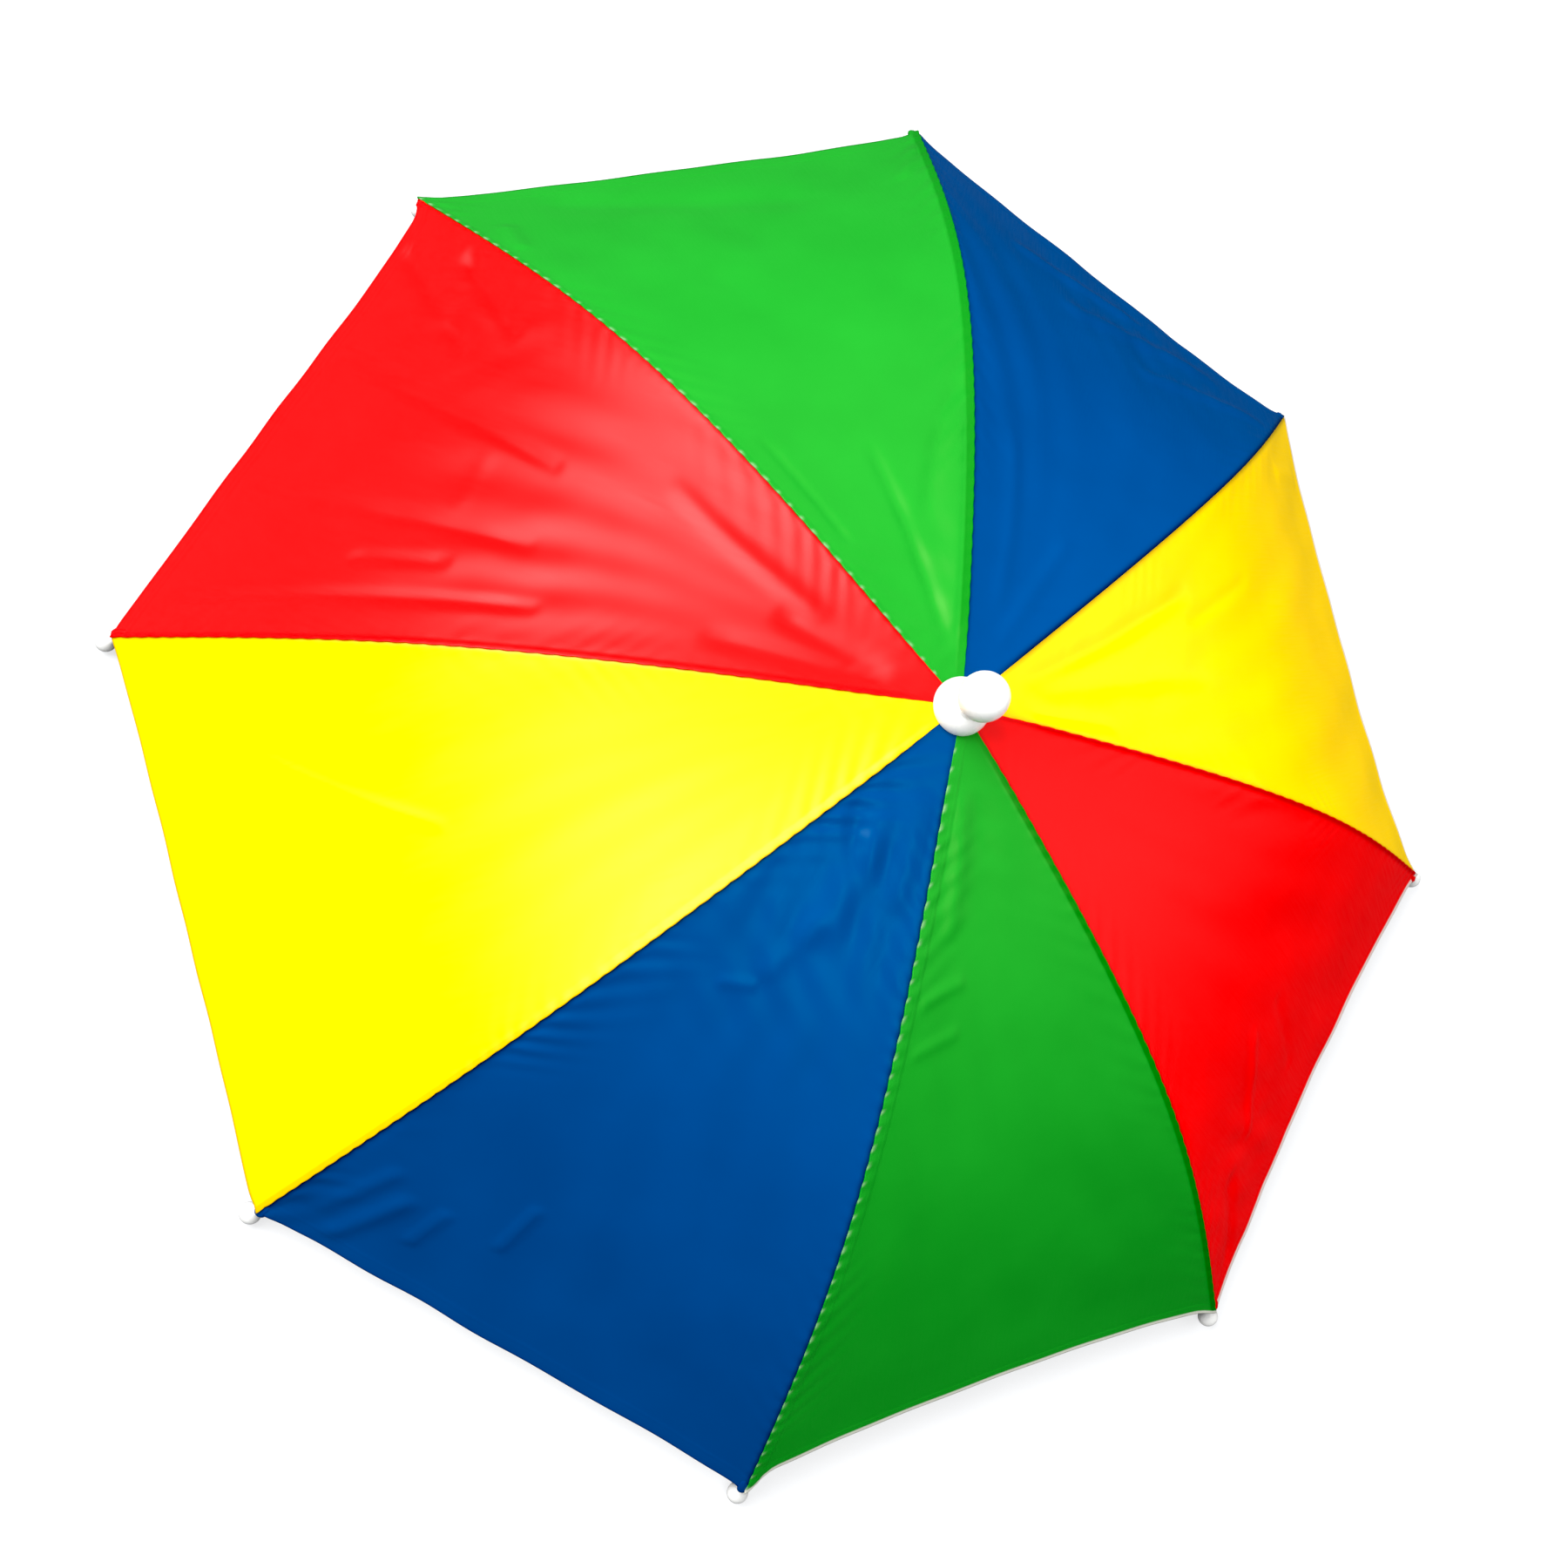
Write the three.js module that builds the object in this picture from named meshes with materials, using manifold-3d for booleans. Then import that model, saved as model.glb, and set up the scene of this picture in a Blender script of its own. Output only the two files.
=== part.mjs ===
// An umbrella hat: a small umbrella of eight coloured gores that is worn on the head.
// Millimetres, +Z up. The hat stands on the eight beads at its rib ends, on the plane z = 0,
// and its post is the Z axis. Ribs and gores are counted clockwise, seen from above, from +X.
import * as THREE from 'three';
import { mergeVertices } from 'three/addons/utils/BufferGeometryUtils.js';
import Module from 'manifold-3d';

// Driving dimensions, in millimetres and degrees
const clearance = 0.3; // between neighbouring pieces
const ribLength = 314; // along the bend, from the hat's axis to the bead
const ribHubSlope = 10.6; // how far below level a rib points at the hub
const ribBend = 32.7; // how far it turns down from the hub to the bead
const ribJointShare = 0.59; // where along the rib its stretcher props it, and it bends most
const ribWire = 2.2;
const clothWall = 1;
const goreSag = 0.03; // how far a gore dips between its ribs, as a share of its width
const hemDepth = 10; // how far the deepest hem curves in
const cornerLap = 7; // how far the longest cloth corner laps over its bead
const cornerWidth = 8; // half the width of such a corner
const foldHeight = 2.2;
const foldWidth = 12;
const beadLength = 12;
const beadWidth = 7.6;
const beadDip = 35; // how far a bead hangs below the line of its rib
const postWidth = 6;
const hubWidth = 18;
const hubHeight = 8;
const slotDepth = 3; // of the slots that hold the ribs and stretchers
const capWidth = 20.6;
const capHeight = 8.5;
const knobWidth = 17.4;
const knobHeight = 18;
const neckWidth = 10.5;
const runnerWidth = 20;
const runnerHeight = 10;
const runnerDrop = 46; // from the top of the canopy to the top of the runner
const stretcherWire = 2;
const bossWidth = 14;
const bossHeight = 6;
const crownWidth = 44; // the flat disc over the head
const crownWall = 4;
const armWidth = 14;
const armWall = 2.5;
const armRoot = 6; // how far an arm runs in under the edge of the crown disc
const armBendShare = 0.8; // of an arm's length, before it runs straight down
const shoulderLift = 4; // from the band's upper edge up to where an arm's straight foot starts
const footLift = 4; // from the band's lower edge up to the end of an arm
const bandWidth = 176; // inside, for a head of about 56 cm round
const bandWall = 2.5;
const bandHeight = 34;
const bandLift = 5; // from the floor up to the band

// Each rib: its turn from an even spacing in degrees, its reach as a share of the even one,
// and how much of cornerLap its cloth corner laps over the bead.
const ribs = [
  { turn: 0.1, reach: 0.975, lap: 1 },
  { turn: -1.5, reach: 0.995, lap: 1 },
  { turn: -0.1, reach: 0.985, lap: 1 },
  { turn: -0.1, reach: 1.003, lap: 0.15 },
  { turn: -0.2, reach: 1.001, lap: 0.15 },
  { turn: 0.5, reach: 1.016, lap: 0.15 },
  { turn: 0.8, reach: 0.999, lap: 0.15 },
  { turn: 0.5, reach: 1.0, lap: 0.15 },
];

// Each gore lies clockwise of the rib in the same row. hem is the share of hemDepth by which
// its hem curves in from the rib ends, or out where it is less than nothing.
const gores = [
  { colour: 'green', hem: -0.3 },
  { colour: 'blue', hem: 0.2 },
  { colour: 'yellow', hem: 0.85 },
  { colour: 'red', hem: 0.8 },
  { colour: 'green', hem: 1 },
  { colour: 'blue', hem: 0 },
  { colour: 'yellow', hem: -0.15 },
  { colour: 'red', hem: -0.2 },
];

// The main folds of the cloth, from one end to the other. along is a share of the rib, across
// a share of the gore's width from its first rib, and height a share of foldHeight. The gores
// are numbered from 1.
const folds = [
  { gore: 1, along: 0.1, across: 0.63, toAlong: 0.38, toAcross: 0.53, height: -0.6 },
  { gore: 1, along: 0.25, across: 0.72, toAlong: 0.42, toAcross: 0.94, height: -0.5 },
  { gore: 2, along: 0.78, across: 0.38, toAlong: 0.93, toAcross: 0.86, height: 0.8 },
  { gore: 2, along: 0.86, across: 0.22, toAlong: 0.95, toAcross: 0.6, height: 0.6 },
  { gore: 3, along: 0.1, across: 0.33, toAlong: 0.45, toAcross: 0.24, height: -0.5 },
  { gore: 4, along: 0.72, across: 0.6, toAlong: 0.88, toAcross: 0.8, height: 0.5 },
  { gore: 5, along: 0.1, across: 0.71, toAlong: 0.28, toAcross: 0.8, height: 0.6 },
  { gore: 6, along: 0.13, across: 0.52, toAlong: 0.36, toAcross: 0.55, height: 0.8 },
  { gore: 6, along: 0.12, across: 0.32, toAlong: 0.26, toAcross: 0.22, height: 0.6 },
  { gore: 8, along: 0.53, across: 0.155, toAlong: 0.95, toAcross: 0.08, height: -0.8 },
  { gore: 8, along: 0.55, across: 0.35, toAlong: 0.95, toAcross: 0.335, height: -0.7 },
  { gore: 8, along: 0.58, across: 0.6, toAlong: 0.96, toAcross: 0.65, height: -0.8 },
  { gore: 8, along: 0.74, across: 0.86, toAlong: 0.9, toAcross: 0.95, height: -0.6 },
];

// Finishes
const clothColours = { red: 0xe8121a, yellow: 0xffe60a, green: 0x1fae2b, blue: 0x0a4aa0 };
const whitePlastic = new THREE.MeshStandardMaterial({ color: 0xf4f3f0, roughness: 0.3 });
const steel = new THREE.MeshStandardMaterial({ color: 0xb9bcc0, roughness: 0.3, metalness: 1 });
const elastic = new THREE.MeshStandardMaterial({ color: 0xeeeeec, roughness: 0.9 });

const radians = THREE.MathUtils.degToRad;
const evenStep = (2 * Math.PI) / ribs.length;
const postHole = postWidth / 2 + clearance;

// A rib is a straight wire bent by its stretcher. Its curvature grows evenly from nothing at
// the hub to its most at the joint, and falls evenly to nothing at the bead.
function ribSlope(share) {
  const outer = 1 - (1 - share) ** 2 / (1 - ribJointShare);
  const turned = share < ribJointShare ? share ** 2 / ribJointShare : outer;
  return radians(ribHubSlope + ribBend * (share > 1 ? 1 : turned));
}

// How far out and how far down the rib has come at a share of its length, by Simpson's rule.
function ribTravel(share) {
  const cuts = 60;
  const travel = { out: 0, down: 0 };
  for (let cut = 0; cut <= cuts; cut += 1) {
    const slope = ribSlope((share * cut) / cuts);
    const weight = cut === 0 || cut === cuts ? 1 : 2 + 2 * (cut % 2);
    travel.out += weight * Math.cos(slope);
    travel.down += weight * Math.sin(slope);
  }
  const scale = (share * ribLength) / (3 * cuts);
  return { out: travel.out * scale, down: travel.down * scale };
}

const endSlope = ribSlope(1);
const beadSlope = endSlope + radians(beadDip);
const beadGap = (ribWire / 2) * Math.sin(radians(beadDip)) + clearance; // from the rib's end
const full = ribTravel(1);

// The bead's outline, as shares of its length and width: a drop with a slim neck.
const beadOutline = [
  { along: 0, wide: 0.24 },
  { along: 0.14, wide: 0.38 },
  { along: 0.3, wide: 0.58 },
  { along: 0.46, wide: 0.82 },
  { along: 0.6, wide: 0.98 },
  { along: 0.72, wide: 1 },
  { along: 0.84, wide: 0.86 },
  { along: 0.95, wide: 0.5 },
];

// How far a bead reaches below the end of its rib.
function beadDrop() {
  const reaches = beadOutline.map((ring) => {
    const down = (beadGap + ring.along * beadLength) * Math.sin(beadSlope);
    return down + (ring.wide * beadWidth * Math.cos(beadSlope)) / 2;
  });
  return Math.max(...reaches, (beadGap + beadLength) * Math.sin(beadSlope));
}

const ribTop = beadDrop() + full.down; // where the ribs' lines meet the axis

const azimuth = (index) => {
  const rib = ribs[index % ribs.length];
  return -index * evenStep + radians(rib.turn);
};

// The frame of a rib at a share of its length, lifted off its line by a height: the point, the
// way out from the axis, the way up from the rib, and the way round, counter-clockwise.
function ribFrame(index, share, lift = 0) {
  const rib = ribs[index % ribs.length];
  const slope = ribSlope(share);
  const travel = ribTravel(share);
  const angle = azimuth(index);
  const outward = new THREE.Vector3(Math.cos(angle), Math.sin(angle), 0);
  const round = new THREE.Vector3(-Math.sin(angle), Math.cos(angle), 0);
  const up = outward.clone().multiplyScalar(Math.sin(slope));
  up.z = Math.cos(slope);
  const point = outward.clone().multiplyScalar(travel.out * rib.reach);
  point.z = ribTop - travel.down;
  point.addScaledVector(up, lift);
  return { point, outward, round, up };
}

const underLift = ribWire / 2 + clearance; // the cloth's underside above the rib's line
const outerLift = underLift + clothWall;
const canopyTop = ribTop + outerLift / Math.cos(ribSlope(0));
const coneDrop = (radius) => radius * Math.tan(ribSlope(0));

// A closed sheet between two surfaces that share one grid: the outer and inner corners are
// functions of two shares, and the rim joins them.
function closedSheet(rows, columns, outer, inner) {
  const points = [];
  const faces = [];
  const wide = columns + 1;
  const layer = (rows + 1) * wide;
  for (const surface of [outer, inner]) {
    for (let row = 0; row <= rows; row += 1) {
      for (let column = 0; column <= columns; column += 1) {
        points.push(...surface(row / rows, column / columns).toArray());
      }
    }
  }
  const quad = (a, b, c, d) => faces.push(a, b, c, a, c, d);
  for (let row = 0; row < rows; row += 1) {
    for (let column = 0; column < columns; column += 1) {
      const a = row * wide + column;
      const b = a + wide;
      quad(a, a + 1, b + 1, b);
      quad(a + layer, b + layer, b + 1 + layer, a + 1 + layer);
    }
  }
  for (let row = 0; row < rows; row += 1) {
    const first = row * wide;
    const last = first + columns;
    quad(first, first + wide, first + wide + layer, first + layer);
    quad(last + wide, last, last + layer, last + wide + layer);
  }
  for (let column = 0; column < columns; column += 1) {
    const hem = rows * wide + column;
    quad(column + 1, column, column + layer, column + 1 + layer);
    quad(hem, hem + 1, hem + 1 + layer, hem + layer);
  }
  const geometry = new THREE.BufferGeometry();
  geometry.setAttribute('position', new THREE.Float32BufferAttribute(points, 3));
  geometry.setIndex(faces);
  return geometry;
}

// How high the folds of a gore stand at a place on it, measured in the flat cloth.
function foldRise(gore, along, across, width) {
  const place = new THREE.Vector2(along * ribLength, across * width);
  let rise = 0;
  for (const fold of folds.filter((row) => row.gore === gore + 1)) {
    const start = new THREE.Vector2(fold.along * ribLength, fold.across * width);
    const run = new THREE.Vector2(fold.toAlong * ribLength, fold.toAcross * width).sub(start);
    const from = place.clone().sub(start);
    const share = THREE.MathUtils.clamp(from.dot(run) / run.lengthSq(), 0, 1);
    const distance = from.addScaledVector(run, -share).length();
    rise += fold.height * foldHeight * Math.exp(-((distance / foldWidth) ** 2));
  }
  return rise;
}

const ribSteps = 14;
const goreColumns = 8;
const ribStart = (hubWidth / 2 - slotDepth + clearance) / (ribLength * Math.cos(ribSlope(0)));
const clothStart = postHole / (ribLength * Math.cos(ribSlope(0)));
const stations = [clothStart];
for (let step = 0; step <= ribSteps; step += 1) {
  stations.push(ribStart + ((1 - ribStart) * step) / ribSteps);
}

// A gore is stretched between two ribs. Each line across it is straight from rib to rib, apart
// from a shallow dip, which the taut hem flattens, and the folds. Its corners lap the beads.
function goreGeometry(index) {
  const last = stations.length - 1;
  const chord = 2 * full.out * Math.sin(evenStep / 2);
  const corner = (rib, away) => ribs[rib % ribs.length].lap * Math.exp(-((away / cornerWidth) ** 2));
  const surface = (depth) => (rowShare, columnShare) => {
    const row = Math.round(rowShare * last);
    const across = (1 - Math.cos(Math.PI * columnShare)) / 2;
    const inward = 4 * across * (1 - across);
    const lap = corner(index, across * chord) + corner(index + 1, (1 - across) * chord);
    const hem = gores[index].hem * hemDepth * Math.sqrt(inward) * (row / last) ** 3;
    const share = stations[row] + ((row === last ? lap * cornerLap : 0) - hem) / ribLength;
    const left = ribFrame(index, share, outerLift - depth);
    const right = ribFrame(index + 1, share, outerLift - depth);
    left.point.addScaledVector(left.round, -clearance / 2);
    right.point.addScaledVector(right.round, clearance / 2);
    const width = left.point.distanceTo(right.point);
    const up = left.up.lerp(right.up, across).normalize();
    const dip = goreSag * width * (1 - 0.75 * share ** 3);
    const fade = inward * Math.min(1, row / 3);
    const rise = fade * (foldRise(index, share, across, width) - dip);
    return left.point.lerp(right.point, across).addScaledVector(up, rise);
  };
  return closedSheet(last, goreColumns, surface(0), surface(clothWall));
}

// A round wire along a curve.
function wireGeometry(curve, width, steps, sides) {
  const section = new THREE.Shape();
  for (let side = 0; side < sides; side += 1) {
    const angle = (2 * Math.PI * side) / sides;
    const corner = [(Math.cos(angle) * width) / 2, (Math.sin(angle) * width) / 2];
    if (side === 0) section.moveTo(...corner);
    else section.lineTo(...corner);
  }
  return new THREE.ExtrudeGeometry(section, { steps, extrudePath: curve, bevelEnabled: false });
}

class RibCurve extends THREE.Curve {
  constructor(index) {
    super();
    this.index = index;
  }

  getPoint(share, target = new THREE.Vector3()) {
    return target.copy(ribFrame(this.index, ribStart + (1 - ribStart) * share).point);
  }

  getPointAt(share, target) {
    return this.getPoint(share, target);
  }
}

const ribGeometry = (index) => wireGeometry(new RibCurve(index), ribWire, ribSteps, 6);

// A bead hangs on from the end of its rib, turned down towards the floor.
function beadGeometry(index) {
  const outline = beadOutline.map(
    (ring) => new THREE.Vector2((ring.wide * beadWidth) / 2, ring.along * beadLength),
  );
  outline.unshift(new THREE.Vector2(0, 0));
  outline.push(new THREE.Vector2(0, beadLength));
  const bead = new THREE.LatheGeometry(outline, 10);
  const { point, outward } = ribFrame(index, 1);
  const way = outward.multiplyScalar(Math.cos(beadSlope));
  way.z = -Math.sin(beadSlope);
  bead.applyQuaternion(new THREE.Quaternion().setFromUnitVectors(new THREE.Vector3(0, 1, 0), way));
  return bead.translate(...point.addScaledVector(way, beadGap).toArray());
}

// A turned piece about the Z axis, from its outline as pairs of radius and height.
function turned(outline, sides) {
  const points = outline.map(([radius, height]) => new THREE.Vector2(radius, height));
  return new THREE.LatheGeometry(points, sides).rotateX(Math.PI / 2);
}

// A collar round the post with a slot at each rib, for the ends of the ribs or stretchers.
function slottedCollar(width, height, wire, bottom) {
  const outline = new THREE.Shape();
  const half = wire / 2 + clearance;
  ribs.forEach((rib, index) => {
    const angle = azimuth(index);
    const mouth = Math.asin(half / (width / 2));
    const floor = width / 2 - slotDepth;
    const turn = (x, y) => [
      x * Math.cos(angle) - y * Math.sin(angle),
      x * Math.sin(angle) + y * Math.cos(angle),
    ];
    const rim = (away) => turn((Math.cos(away) * width) / 2, (Math.sin(away) * width) / 2);
    const corners = [
      rim(evenStep / 2 - 0.05),
      rim((evenStep / 2 + mouth) / 2),
      rim(mouth),
      turn(floor, half),
      turn(floor, -half),
      rim(-mouth),
      rim(-(evenStep / 2 + mouth) / 2),
    ];
    corners.forEach((corner, place) => {
      if (index === 0 && place === 0) outline.moveTo(...corner);
      else outline.lineTo(...corner);
    });
  });
  const hole = new THREE.Path();
  hole.absarc(0, 0, postHole, 0, 2 * Math.PI);
  outline.holes.push(hole);
  const options = { depth: height, bevelEnabled: false, curveSegments: 16 };
  return new THREE.ExtrudeGeometry(outline, options).translate(0, 0, bottom);
}

// The hub lies under the cloth, low enough to clear the gores where they dip between the ribs.
const hubReach = hubWidth / 2 / Math.cos(evenStep / 2);
const hubTop = canopyTop - coneDrop(hubReach) - clothWall - goreSag * hubReach - clearance * 2;
const runnerTop = canopyTop - runnerDrop;
const crownTop = runnerTop - runnerHeight - clearance - bossHeight;
const crownBottom = crownTop - crownWall;

// The cap is a low dome on the cloth, with a conical underside and a hole for the post.
function capGeometry() {
  const radius = capWidth / 2;
  const base = canopyTop - coneDrop(radius) + clearance;
  const top = canopyTop + capHeight;
  const rim = [postHole, canopyTop - coneDrop(postHole) + clearance];
  const outline = [rim, [radius * 0.96, base + coneDrop(radius * 0.04)], [radius, base + 1]];
  const bulge = top - base - 1;
  for (const angle of [25, 45, 62]) {
    const out = Math.cos(radians(angle)) ** 0.8;
    outline.push([radius * out, base + 1 + bulge * Math.sin(radians(angle))]);
  }
  outline.push([neckWidth / 2, top], [postHole, top], rim);
  return turned(outline, 24);
}

// The knob is a ball with a flattened top on a flared neck, moulded in one with the post that
// carries the cap, the hub and the runner down to the boss over the head.
function knobGeometry() {
  const base = canopyTop + capHeight + clearance;
  const post = postWidth / 2;
  const ball = knobWidth / 2;
  const middle = base + knobHeight * 0.55;
  const top = base + knobHeight;
  const outline = [[0, crownTop + clearance], [post, crownTop + clearance], [post, base]];
  outline.push([neckWidth / 2, base]);
  for (const angle of [-55, -35, -15, 0, 20, 40, 58, 76]) {
    const lift = angle < 0 ? middle - base : top - middle;
    const out = Math.cos(radians(angle)) ** 0.75;
    outline.push([ball * out, middle + lift * Math.sin(radians(angle))]);
  }
  outline.push([0, top]);
  return turned(outline, 24);
}

// A stretcher runs from its slot in the runner to just under the rib at the joint.
function stretcherGeometry(index) {
  const joint = ribFrame(index, ribJointShare, -(ribWire + stretcherWire) / 2 - clearance);
  const start = joint.outward.multiplyScalar(runnerWidth / 2 - slotDepth + clearance);
  start.z = runnerTop - runnerHeight / 2;
  return wireGeometry(new THREE.LineCurve3(start, joint.point), stretcherWire, 1, 6);
}

const wasm = await Module();
wasm.setup();

function solidOf(geometry) {
  geometry.deleteAttribute('normal');
  geometry.deleteAttribute('uv');
  const merged = mergeVertices(geometry, 1e-4);
  const vertProperties = merged.attributes.position.array;
  const triVerts = new Uint32Array(merged.index.array);
  return new wasm.Manifold(new wasm.Mesh({ numProp: 3, vertProperties, triVerts }));
}

function geometryOf(solid) {
  const mesh = solid.getMesh();
  const geometry = new THREE.BufferGeometry();
  geometry.setAttribute('position', new THREE.BufferAttribute(mesh.vertProperties, 3));
  geometry.setIndex(new THREE.BufferAttribute(mesh.triVerts, 1));
  return geometry;
}

// An arm of the cradle: level out of the crown disc, round in a quarter of an ellipse, and
// straight down the outside of the headband.
function armGeometry(angle) {
  const half = armWall / 2;
  const inner = crownWidth / 2 - armRoot;
  const outer = bandWidth / 2 + bandWall + clearance + half;
  const crown = crownTop - crownWall / 2;
  const shoulder = bandLift + bandHeight + shoulderLift;
  const foot = bandLift + footLift;
  const surface = (depth) => (share, across) => {
    const bend = Math.min(share / armBendShare, 1);
    const turn = (bend * Math.PI) / 2;
    const drop = Math.max(share - armBendShare, 0) / (1 - armBendShare);
    const rise = crown - shoulder;
    const middle = inner + (outer - inner) * Math.sin(turn);
    const tilt = Math.atan2(rise * Math.sin(turn), (outer - inner) * Math.cos(turn));
    const radius = middle - depth * Math.sin(tilt);
    const bottom = shoulder - drop * (shoulder - foot);
    const height = bottom + rise * Math.cos(turn) - depth * Math.cos(tilt);
    const round = angle - ((across - 0.5) * armWidth) / middle;
    return new THREE.Vector3(Math.cos(round) * radius, Math.sin(round) * radius, height);
  };
  return closedSheet(10, 3, surface(-half), surface(half));
}

// The cradle is one moulded piece: a flat crown disc with a boss round the post's end, and four
// arms down to the headband.
function cradleGeometry() {
  const disc = [[0, crownBottom], [crownWidth / 2, crownBottom], [crownWidth / 2, crownTop]];
  const top = crownTop + bossHeight;
  disc.push([bossWidth / 2, crownTop], [bossWidth / 2, top], [postHole, top]);
  disc.push([postHole, crownTop], [0, crownTop]);
  let cradle = solidOf(turned(disc, 32));
  for (const quarter of [0, 1, 2, 3]) {
    cradle = cradle.add(solidOf(armGeometry((quarter * Math.PI) / 2)));
  }
  return geometryOf(cradle);
}

function bandGeometry() {
  const inner = bandWidth / 2;
  const outer = inner + bandWall;
  const top = bandLift + bandHeight;
  const start = [inner, bandLift];
  return turned([start, [outer, bandLift], [outer, top], [inner, top], start], 48);
}

const hat = new THREE.Group();

function piece(name, geometry, material) {
  const mesh = new THREE.Mesh(geometry, material);
  mesh.name = name;
  hat.add(mesh);
}

const clothOf = {};
for (const [colour, value] of Object.entries(clothColours)) {
  clothOf[colour] = new THREE.MeshStandardMaterial({ color: value, roughness: 0.4 });
}

ribs.forEach((rib, index) => {
  const number = index + 1;
  const { colour } = gores[index];
  piece(`gore_${number}_${colour}`, goreGeometry(index), clothOf[colour]);
  piece(`rib_${number}`, ribGeometry(index), steel);
  piece(`bead_${number}`, beadGeometry(index), whitePlastic);
  piece(`stretcher_${number}`, stretcherGeometry(index), steel);
});
piece('cap', capGeometry(), whitePlastic);
piece('knob', knobGeometry(), whitePlastic);
const hubBottom = hubTop - hubHeight;
piece('hub', slottedCollar(hubWidth, hubHeight, ribWire, hubBottom), whitePlastic);
const runnerBottom = runnerTop - runnerHeight;
piece('runner', slottedCollar(runnerWidth, runnerHeight, stretcherWire, runnerBottom), whitePlastic);
piece('cradle', cradleGeometry(), whitePlastic);
piece('headband', bandGeometry(), elastic);

export default hat;
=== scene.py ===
# %% [markdown]
# An umbrella hat, open, standing on the beads of its ribs. The solids of the hat are loaded
# first, as a fixed frame. Finer surfaces are then made in the same places: cloth gores with
# seams, hems and folds, round wires, and moulded plastic. The stretchers, the hub, the runner
# and the cradle stay as the solids have them.
# Lengths below are in millimetres, and one factor turns them to Blender's metres.

# %% Load the frame
import math

import bpy
import numpy as np
from mathutils import Matrix, Vector


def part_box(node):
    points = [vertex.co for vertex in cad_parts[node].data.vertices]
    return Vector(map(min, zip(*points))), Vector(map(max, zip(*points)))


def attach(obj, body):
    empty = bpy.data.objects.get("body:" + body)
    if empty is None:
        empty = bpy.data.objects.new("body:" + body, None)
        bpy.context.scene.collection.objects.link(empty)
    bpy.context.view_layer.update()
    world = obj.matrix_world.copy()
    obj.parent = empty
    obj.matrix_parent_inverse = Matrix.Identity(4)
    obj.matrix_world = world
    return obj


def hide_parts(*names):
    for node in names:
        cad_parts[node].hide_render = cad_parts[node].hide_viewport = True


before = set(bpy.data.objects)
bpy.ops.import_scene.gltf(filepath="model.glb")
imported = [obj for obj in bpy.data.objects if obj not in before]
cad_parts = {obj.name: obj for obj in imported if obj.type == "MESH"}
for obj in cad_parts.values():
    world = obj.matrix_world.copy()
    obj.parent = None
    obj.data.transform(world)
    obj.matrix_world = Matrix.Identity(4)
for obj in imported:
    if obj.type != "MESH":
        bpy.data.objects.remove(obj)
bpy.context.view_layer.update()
MM = 0.001

# %% [markdown]
# The camera stands about 70 degrees above the floor, between the seventh and the eighth
# rib, and its picture is turned, so that the post leans to the right. It could be aimed
# with a constraint, but a matrix worked out from the aim and the turn says all of it at once.

# %% Camera
CAMERA_AIM = Vector((2.82, 15.15, 0.0)) * MM
CAMERA_AZIMUTH = math.radians(76.68)
CAMERA_ELEVATION = math.radians(69.63)
CAMERA_DISTANCE = 850.3 * MM
CAMERA_TURN = math.radians(67.02)  # clockwise from the picture's up to the post's direction

level = math.cos(CAMERA_ELEVATION)
back = Vector((math.cos(CAMERA_AZIMUTH) * level, math.sin(CAMERA_AZIMUTH) * level,
               math.sin(CAMERA_ELEVATION)))
post_up = (Vector((0, 0, 1)) - back * back.z).normalized()
post_right = post_up.cross(back)
picture_up = post_up * math.cos(CAMERA_TURN) - post_right * math.sin(CAMERA_TURN)
picture_right = picture_up.cross(back)

camera_data = bpy.data.cameras.new("camera")
camera_data.lens = 48
camera_data.sensor_width = 36
camera = bpy.data.objects.new("camera", camera_data)
bpy.context.scene.collection.objects.link(camera)
turn = Matrix((picture_right, picture_up, back)).transposed().to_4x4()
camera.matrix_world = Matrix.Translation(CAMERA_AIM + back * CAMERA_DISTANCE) @ turn
bpy.context.scene.camera = camera
print("camera at", [round(x, 4) for x in camera.matrix_world.translation])

# %% [markdown]
# A rib is a straight wire that its stretcher bends, so its slope grows slowly by the hub,
# fastest at the joint, and settles by the bead. Everything on the canopy follows this one
# curve. It could be drawn as a Bezier curve, but a formula gives the same line as the solids
# have, so the cloth lies on the ribs without any fitting.

# %% The curve of a rib
RIB_LENGTH = 314.0
HUB_SLOPE = 10.6  # degrees below level
RIB_BEND = 32.7  # degrees from the hub to the bead
JOINT_SHARE = 0.59  # where the stretcher props the rib
RIB_WIRE = 2.2
CLEARANCE = 0.3
CLOTH_LIFT = RIB_WIRE / 2 + CLEARANCE + 1.0  # from a rib's line to the cloth's upper side
CLOTH_HOLE = 3.3  # from the post's axis to the cloth's inner edge
CLOTH_START = CLOTH_HOLE / (RIB_LENGTH * math.cos(math.radians(HUB_SLOPE)))

RIBS = [  # degrees from an even spacing, share of the even reach, and mm that the corner laps
    {"turn": 0.1, "reach": 0.975, "lap": 7.0},
    {"turn": -1.5, "reach": 0.995, "lap": 7.0},
    {"turn": -0.1, "reach": 0.985, "lap": 7.0},
    {"turn": -0.1, "reach": 1.003, "lap": 1.0},
    {"turn": -0.2, "reach": 1.001, "lap": 1.0},
    {"turn": 0.5, "reach": 1.016, "lap": 1.0},
    {"turn": 0.8, "reach": 0.999, "lap": 1.0},
    {"turn": 0.5, "reach": 1.0, "lap": 1.0},
]


def rib_slope(share):
    """Radians below level: the hub's slope, plus a bend that grows as the square of the share
    up to the joint and falls off as a square beyond it."""
    inner = share**2 / JOINT_SHARE
    outer = 1 - (1 - np.minimum(share, 1)) ** 2 / (1 - JOINT_SHARE)
    return np.radians(HUB_SLOPE + RIB_BEND * np.where(share < JOINT_SHARE, inner, outer))


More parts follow.
